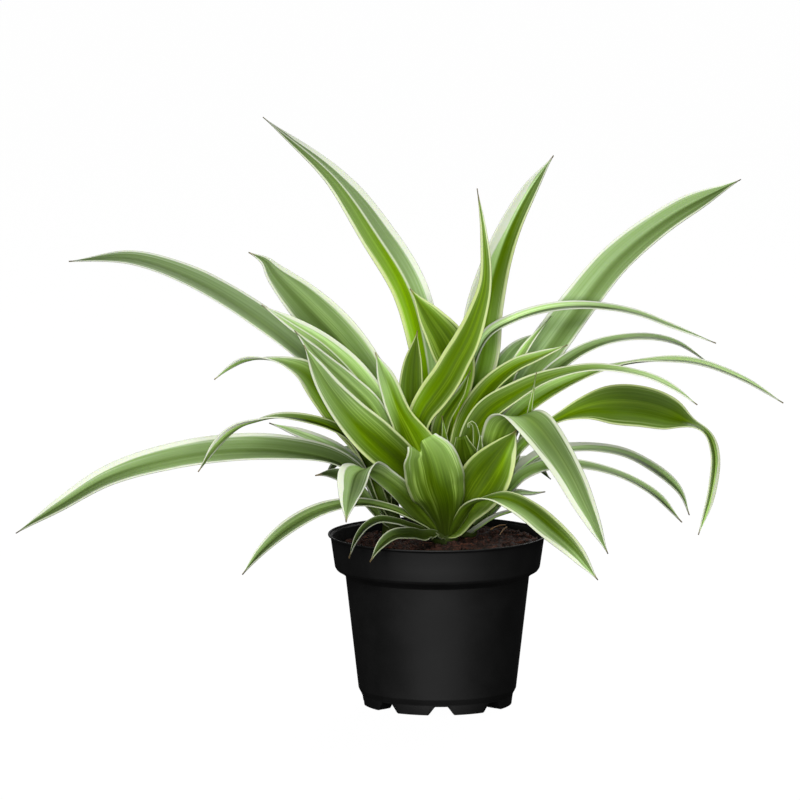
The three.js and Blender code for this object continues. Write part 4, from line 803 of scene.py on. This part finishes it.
def leaf_finish(name, colours, rougher=0.0):
    """A face of the leaves: the leaf pattern with its own colours and roughness."""
    material, tree, shader = new_material(name)
    uv = tree.nodes.new("ShaderNodeUVMap")
    uv.uv_map = "UVMap"
    parts = tree.nodes.new("ShaderNodeSeparateXYZ")
    tree.links.new(uv.outputs[0], parts.inputs[0])
    stripes = tree.nodes.new("ShaderNodeGroup")
    stripes.node_tree = STRIPES
    tree.links.new(parts.outputs["X"], stripes.inputs["Across"])
    tree.links.new(parts.outputs["Y"], stripes.inputs["Along"])
    for mark in LEAF_MARKS:
        tree.links.new(attribute(tree, mark), stripes.inputs[mark.capitalize()])
    for label, code in colours.items():
        stripes.inputs[label].default_value = linear(code)
    tree.links.new(stripes.outputs["Color"], shader.inputs["Base Color"])
    tree.links.new(calc(tree, "ADD", stripes.outputs["Roughness"], rougher), shader.inputs["Roughness"])
    add_relief(tree, shader, stripes.outputs["Height"], 0.06, 0.0004)
    # a little light passes through the blade
    shader.inputs["Subsurface Weight"].default_value = 0.12
    shader.inputs["Subsurface Radius"].default_value = (0.6, 1.0, 0.2)
    shader.inputs["Subsurface Scale"].default_value = 0.002
    shader.inputs["Specular IOR Level"].default_value = 0.04
    return material


def black_plastic():
    material, tree, shader = new_material("pot_black_plastic")
    place = object_place(tree)
    grain = cloud(tree, place, 1400.0, 3.0, 0.6)
    dull = cloud(tree, place, 60.0, 3.0, 0.55)
    tree.links.new(mix(tree, dull, linear("030303"), linear("070707")), shader.inputs["Base Color"])
    tree.links.new(ramp(tree, dull, 0.3, 0.7, 0.56, 0.64), shader.inputs["Roughness"])
    add_relief(tree, shader, grain, 0.12, 0.0001)
    shader.inputs["Specular IOR Level"].default_value = 0.34
    return material


def peat(name, dark, red, pale):
    """Crumbly earth in two browns with pale bits."""
    material, tree, shader = new_material(name)
    place = object_place(tree)
    clods = cloud(tree, place, 420.0, 4.0, 0.65)
    bits = cloud(tree, place, 900.0)
    earth = mix(tree, ramp(tree, clods, 0.4, 0.62), linear(dark), linear(red))
    earth = mix(tree, ramp(tree, bits, 0.66, 0.74), earth, linear(pale))
    tree.links.new(earth, shader.inputs["Base Color"])
    tree.links.new(ramp(tree, clods, 0.3, 0.7, 0.78, 0.95), shader.inputs["Roughness"])
    add_relief(tree, shader, clods, 0.6, 0.0008)
    shader.inputs["Specular IOR Level"].default_value = 0.25
    return material


def stalk_finish(name, light, dark, scale, detail, roughness, gloss):
    """The mottled finish of a stem or a dry stalk."""
    material, tree, shader = new_material(name)
    mottle = cloud(tree, object_place(tree), scale, detail)
    tree.links.new(mix(tree, mottle, linear(light), linear(dark)), shader.inputs["Base Color"])
    shader.inputs["Roughness"].default_value = roughness
    shader.inputs["Specular IOR Level"].default_value = gloss
    return material


STRIPES = leaf_pattern()
LEAF_UPPER = leaf_finish("leaf_upper_face", {})
LEAF_UNDER = leaf_finish("leaf_underside", {
    "Cool": "86a062", "Cool shade": "6c8547", "Cool stripe": "a6ba88",
    "Warm": "6c8e0c", "Warm shade": "405a00", "Warm stripe": "9dbd48"}, rougher=0.1)
POT_PLASTIC = black_plastic()
SOIL_PEAT = peat("soil_peat", "150d09", "3a2118", "6b4630")
SOIL_CHIP = peat("soil_chips", "2a1710", "55301f", "8a6345")
STRAW = stalk_finish("soil_straw", "c9a06a", "8d6238", scale=500.0, detail=2.0, roughness=0.7, gloss=0.5)
# the stems' dark olive-brown: partly their own colour, partly painted shade of the crowns' heart
STEM = stalk_finish("crown_sheath", "1c2808", "343f16", scale=120.0, detail=3.0, roughness=0.6, gloss=0.05)


# ---- the leaves and crowns ---------------------------------------------------------------------
GOLDEN_SHARE = 0.618
SPROUT_SEED = 3


def own_seed(number):
    """A pattern seed from 0 to 10, well apart from those of the neighbouring numbers."""
    return number * GOLDEN_SHARE % 1 * 10


for number, (name, leaf) in enumerate(LEAVES.items()):
    blade = leaf_piece("blade_" + name, leaf, LOOKS.get(name, {}), own_seed(number))
    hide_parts("leaf_" + name)

for number, (name, leaf) in enumerate(YOUNG_LEAVES.items()):
    sprout = leaf_piece("sprout_" + name, leaf, LOOKS[name], own_seed(number) + SPROUT_SEED)


def ring_of(points, steps, centre=Vector((0, 0, 0))):
    """A bmesh of the outline (radius, height) spun round an upright axis, closed at the poles."""
    bm = bmesh.new()
    verts = [bm.verts.new(centre + Vector((0, -r, z))) for r, z in points]
    edges = [bm.edges.new(pair) for pair in zip(verts, verts[1:])]
    bmesh.ops.spin(bm, geom=verts + edges, cent=centre, axis=UP, angle=math.tau, steps=steps,
                   use_merge=True)
    bmesh.ops.remove_doubles(bm, verts=bm.verts, dist=0.001)
    bmesh.ops.recalc_face_normals(bm, faces=bm.faces)
    return bm


STEM_STEPS = 48
STEM_EDGE = 4  # height over which the foot widens, and over which the top closes
STEM_WIDE_Z = 92  # up to here a stem has its full radius
STEM_NECK_Z = 104
STEM_NECK = 0.8  # share of the radius at the neck and at the very foot
STEM_TOP = 0.5  # share of the radius just under the top

for key, (x, y, radius, top) in CROWNS.items():
    outline = [(0, CROWN_FOOT_Z), (radius * STEM_NECK, CROWN_FOOT_Z),
               (radius, CROWN_FOOT_Z + STEM_EDGE), (radius, STEM_WIDE_Z),
               (radius * STEM_NECK, STEM_NECK_Z), (radius * STEM_TOP, top - STEM_EDGE), (0, top)]
    stem = finish_mesh("stem_" + key, ring_of(outline, STEM_STEPS, Vector((x, y, 0))), [STEM])
    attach(stem, "root")
    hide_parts("crown_" + key)


# ---- the pot -----------------------------------------------------------------------------------
POT_WALL = 1.1
POT_EDGE = 0.32  # rounding of its sharp edges
POT_EDGE_TURN = math.radians(12)  # an edge sharper than this is rounded
POT_SHARP = math.radians(35)  # and one sharper than this stays crisp in the shading
POT_FLOOR_Z = 5.5
POT_FLOOR_THICKNESS = 1.3
POT_FLOOR_LAP = 0.4  # how far the floor plate reaches into the foot ring
POT_STEPS = 384
# radius and height of the outside, from the ground to the lip
POT_OUTLINE = [(41, 0), (41.6, 5.5), (43.3, 8.8), (50.4, 71), (52.3, 72.8), (55.3, 74.5), (56.2, 76),
               (57.1, 82), (58.6, 92.4), (60, 93.2), (60, 94)]
POT_RADIUS = POT_OUTLINE[-1][0]
WALL_START = 2  # the point of the outline where the foot ends and the wall begins
SOIL_END = 8  # the soil's edge lies just under this point
FOOT_DEPTH = 9.7  # from the outside of a foot to its inside
FOOT_RINGS = 4  # rows of faces across a foot's sole
NOTCHES = 8
NOTCH_PITCH = 360 / NOTCHES
NOTCH_TURN = 2.8  # degrees from the front towards the right
NOTCH_HEIGHT = 4.7
NOTCH_FOOT = 14  # width on the ground
NOTCH_TOP = 7  # width at its top
NOTCH_CEILING = POT_FLOOR_Z - 0.4  # what lies below it is lifted inside a notch
NOTCH_RELIEF = 0.1  # share of the foot's own height that is left there
DRAIN_RING = 27
DRAIN_RADIUS = 4
DRAIN_STEPS = 32


def is_crisp_ring(edge):
    """Whether an edge runs level round the pot and is sharp enough to be rounded."""
    first, second = (vert.co for vert in edge.verts)
    level = abs(first.z - second.z) < 1e-4 and abs(first.xy.length - second.xy.length) < 1e-3
    return level and edge.calc_face_angle(0) > POT_EDGE_TURN


def pot_piece():
    floor_top = POT_FLOOR_Z + POT_FLOOR_THICKNESS
    inner = [(r - POT_WALL, z) for r, z in reversed(POT_OUTLINE[WALL_START:])]
    hollow = POT_OUTLINE[0][0] - FOOT_DEPTH
    outline = [(hollow, POT_FLOOR_Z)]
    outline += [(hollow + FOOT_DEPTH * i / FOOT_RINGS, 0) for i in range(FOOT_RINGS)]
    outline += POT_OUTLINE + inner[:-1] + [(inner[-1][0], floor_top), (hollow, floor_top)]
    bm = bmesh.new()
    verts = [bm.verts.new((0, -r, z)) for r, z in outline]
    edges = [bm.edges.new(pair) for pair in zip(verts, verts[1:] + verts[:1])]
    bmesh.ops.spin(bm, geom=verts + edges, cent=(0, 0, 0), axis=UP, angle=math.tau, steps=POT_STEPS,
                   use_merge=True)
    bmesh.ops.recalc_face_normals(bm, faces=bm.faces)
    rings = [edge for edge in bm.edges if is_crisp_ring(edge)]
    bmesh.ops.bevel(bm, geom=rings, offset=POT_EDGE, affect="EDGES", segments=3, profile=0.5, material=-1)

    # the notches: the foot ring is lifted where it is cut out
    for vert in bm.verts:
        if vert.co.z < NOTCH_CEILING:
            turn = math.degrees(math.atan2(vert.co.x, -vert.co.y)) - NOTCH_TURN
            off = abs((turn + NOTCH_PITCH / 2) % NOTCH_PITCH - NOTCH_PITCH / 2)
            run = math.sin(math.radians(off)) * vert.co.xy.length
            rise = min(max((NOTCH_FOOT / 2 - run) / (NOTCH_FOOT / 2 - NOTCH_TOP / 2), 0), 1)
            vert.co.z = blend(vert.co.z, NOTCH_HEIGHT + vert.co.z * NOTCH_RELIEF, rise)

    # the floor plate with its drain holes
    plate = bmesh.ops.create_circle(bm, segments=POT_STEPS // 2, radius=hollow + POT_FLOOR_LAP)["verts"]
    for i in range(NOTCHES):
        way = Matrix.Rotation(math.radians(NOTCH_TURN + NOTCH_PITCH * i), 4, "Z")
        hole = Matrix.Translation(way @ Vector((0, -DRAIN_RING, 0)))
        plate += bmesh.ops.create_circle(bm, segments=DRAIN_STEPS, radius=DRAIN_RADIUS,
                                         matrix=hole)["verts"]
    bmesh.ops.translate(bm, vec=(0, 0, floor_top), verts=plate)
    rim = list({edge for vert in plate for edge in vert.link_edges})
    filled = bmesh.ops.triangle_fill(bm, use_beauty=True, use_dissolve=False, edges=rim, normal=UP)
    faces = [part for part in filled["geom"] if isinstance(part, bmesh.types.BMFace)]
    for face in faces:
        if face.normal.z < 0:
            face.normal_flip()
    lower = bmesh.ops.extrude_face_region(bm, geom=faces, use_keep_orig=True)["geom"]
    sunk = [part for part in lower if isinstance(part, bmesh.types.BMVert)]
    bmesh.ops.translate(bm, vec=(0, 0, -POT_FLOOR_THICKNESS), verts=sunk)
    bmesh.ops.recalc_face_normals(bm, faces=bm.faces)
    return finish_mesh("nursery_pot", bm, [POT_PLASTIC])


pot = pot_piece()
pot.data.set_sharp_from_angle(angle=POT_SHARP)
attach(pot, "root")
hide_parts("pot")


# ---- the soil ----------------------------------------------------------------------------------
SOIL_GAP = 0.5  # to the pot's wall
SOIL_FLOOR_GAP = 0.3
SOIL_CORNER = 1
SOIL_EDGE_Z = 86.5
SOIL_DOME = 3.5  # how much higher the soil stands round the crowns
SOIL_RISE_RIGHT = 2.2  # higher at the right and back of the lip than at the axis
SOIL_RISE_BACK = 2.4
SOIL_BUMP = 0.9  # height of the soft lumps, the clods and the grains
SOIL_CLOD = 1.1
SOIL_GRAIN = 0.5
SOIL_RINGS = 60
SOIL_STEPS = 192


def soil_height(x, y):
    """Height of the soil: a low dome that leans with the plant, with lumps, clods and grains."""
    share = math.hypot(x, y) / POT_RADIUS
    lumps = math.sin(x * 0.41 + 1) * math.cos(y * 0.37) + 0.6 * math.sin(x * 0.83 - y * 0.71)
    slope = (x * SOIL_RISE_RIGHT + y * SOIL_RISE_BACK) / POT_RADIUS
    base = SOIL_EDGE_Z + SOIL_DOME * (1 - share ** 2) + slope + SOIL_BUMP * lumps
    clods = noise.fractal(Vector((x, y, 0)) * 0.22, 1.0, 2.0, 5)
    return base + SOIL_CLOD * clods + SOIL_GRAIN * noise.noise(Vector((x, y, 9)) * 0.9)


def soil_piece():
    wall = [(r - POT_WALL - SOIL_GAP, z) for r, z in POT_OUTLINE[WALL_START:SOIL_END]]
    floor_top = POT_FLOOR_Z + POT_FLOOR_THICKNESS + SOIL_FLOOR_GAP
    edge = wall[-1][0]
    foot = wall[0][0]
    outline = [(0, floor_top), (foot - SOIL_CORNER, floor_top), (foot, floor_top + SOIL_CORNER)] + wall[1:]
    outline += [(edge * i / SOIL_RINGS, SOIL_EDGE_Z) for i in range(SOIL_RINGS, -1, -1)]
    bm = ring_of(outline, SOIL_STEPS)
    for vert in bm.verts:
        if vert.co.z > SOIL_EDGE_Z - 0.01:
            vert.co.z = soil_height(vert.co.x, vert.co.y)
    return finish_mesh("peat_soil", bm, [SOIL_PEAT])


soil = soil_piece()
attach(soil, "root")
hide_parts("soil")

CRUMBS = 1100
CHIPS = 170
CHIP_THICKNESS = 0.35
CHIP_LIFT = 0.3  # how high a chip lies on the soil
SCATTER_RADIUS = 54.5
SCATTER_LEAN = 0.7  # how far a bit leans out of level, in radians
CROWN_GAP = 1  # bare soil left round a stem


def scattered(maker, count, seed, materials, name):
    """Small bits lying on the soil, made by maker(bm, matrix, dice)."""
    dice = random.Random(seed)
    bm = bmesh.new()
    for _ in range(count):
        radius = SCATTER_RADIUS * math.sqrt(dice.random())
        turn = dice.uniform(0, math.tau)
        x, y = radius * math.cos(turn), radius * math.sin(turn)
        if any(math.hypot(x - cx, y - cy) < r + CROWN_GAP for cx, cy, r, _ in CROWNS.values()):
            continue
        spin = Matrix.Rotation(dice.uniform(0, math.tau), 4, "Z")
        lean = Matrix.Rotation(dice.uniform(-SCATTER_LEAN, SCATTER_LEAN), 4, "X")
        maker(bm, Matrix.Translation((x, y, soil_height(x, y))) @ (spin @ lean), dice)
    piece = finish_mesh(name, bm, materials, smooth=False)
    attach(piece, "root")


def crumb(bm, matrix, dice):
    """A lump of peat, 0.6 to 2.1 mm in radius, most of them small."""
    size = dice.uniform(0.35, 1.0) ** 1.6 * 1.9 + 0.25
    shape = Matrix.Diagonal((size, size * dice.uniform(0.6, 1), size * dice.uniform(0.45, 0.8), 1))
    bmesh.ops.create_icosphere(bm, subdivisions=1, radius=1, matrix=matrix @ shape)


def chip(bm, matrix, dice):
    """A splinter of bark."""
    long, wide = dice.uniform(2.5, 7.5), dice.uniform(0.5, 1.3)
    shape = Matrix.Diagonal((long, wide, CHIP_THICKNESS, 1))
    bmesh.ops.create_cube(bm, size=1, matrix=matrix @ Matrix.Translation((0, 0, CHIP_LIFT)) @ shape)


scattered(crumb, CRUMBS, 11, [SOIL_PEAT], "peat_crumbs")
scattered(chip, CHIPS, 23, [SOIL_CHIP], "bark_chips")

STALK_TAPER = 0.7
STALK_LIFT = 1.6  # how high its ends lie
STALK_ARCH = 0.8  # how much higher its middle is


def stalk(name, start, end, radius):
    """A dry stalk lying on the soil, from one [x, y] to another."""
    bm = bmesh.new()
    bmesh.ops.create_cone(bm, cap_ends=True, segments=10, radius1=radius,
                          radius2=radius * STALK_TAPER, depth=1)
    sides = [edge for edge in bm.edges if abs(edge.verts[0].co.z - edge.verts[1].co.z) > 0.5]
    bmesh.ops.subdivide_edges(bm, edges=sides, cuts=8)
    a, b = (Vector((x, y, soil_height(x, y) + STALK_LIFT)) for x, y in (start, end))
    way = (b - a).to_track_quat("Z", "Y").to_matrix().to_4x4()
    for vert in bm.verts:
        u = vert.co.z + 0.5
        ring = way @ Vector((vert.co.x, vert.co.y, 0))
        vert.co = a.lerp(b, u) + ring + UP * STALK_ARCH * math.sin(u * math.pi)
    piece = finish_mesh(name, bm, [STRAW])
    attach(piece, "root")


stalk("straw_long", (38.5, 38), (33, 6), 0.45)
stalk("straw_short", (29.5, 24), (38, 40), 0.35)


# ---- floor and light ---------------------------------------------------------------------------
FLOOR_RADIUS = 15000
FLOOR_GLOW = 0.99
WORLD_GLOW = 0.1
WHITE = (1, 1, 1, 1)

# the floor shows white, and throws almost no light on the plant, as the photo is cut out on white
floor_material, floor_tree, floor_shader = new_material("studio_floor")
floor_shader.inputs["Base Color"].default_value = (0.006, 0.006, 0.006, 1)
floor_shader.inputs["Emission Color"].default_value = WHITE
seen = floor_tree.nodes.new("ShaderNodeLightPath").outputs["Is Camera Ray"]
glow = calc(floor_tree, "MULTIPLY", seen, FLOOR_GLOW)
floor_tree.links.new(glow, floor_shader.inputs["Emission Strength"])
floor_shader.inputs["Roughness"].default_value = 0.9
floor_shader.inputs["Specular IOR Level"].default_value = 0.1
floor_bm = bmesh.new()
bmesh.ops.create_circle(floor_bm, cap_ends=True, segments=64, radius=FLOOR_RADIUS)
floor = finish_mesh("studio_floor", floor_bm, [floor_material], smooth=False)

world = bpy.data.worlds.new("studio")
world.use_nodes = True
world.node_tree.nodes["Background"].inputs["Color"].default_value = WHITE
world.node_tree.nodes["Background"].inputs["Strength"].default_value = WORLD_GLOW
bpy.context.scene.world = world


def softbox(name, place, aim, size, power):
    """A soft lamp: place and aim in mm from the pot's axis, size in m, power in watts."""
    light = bpy.data.lights.new(name, "AREA")
    light.shape = "RECTANGLE"
    light.size, light.size_y = size
    light.energy = power
    lamp = bpy.data.objects.new(name, light)
    lamp.location = placed(Vector(place))
    lamp.rotation_euler = (Vector(place) - Vector(aim)).to_track_quat("Z", "Y").to_euler()
    bpy.context.collection.objects.link(lamp)


softbox("key_light", (-450, -1900, 1800), (0, 0, 120), (1.3, 1.3), 54)
softbox("front_light", (-150, -2600, 300), (0, 0, 90), (2.6, 0.9), 75)
softbox("back_light", (500, 1500, 1500), (0, 0, 150), (1.2, 1.2), 30)

bpy.context.scene.view_settings.view_transform = "Standard"
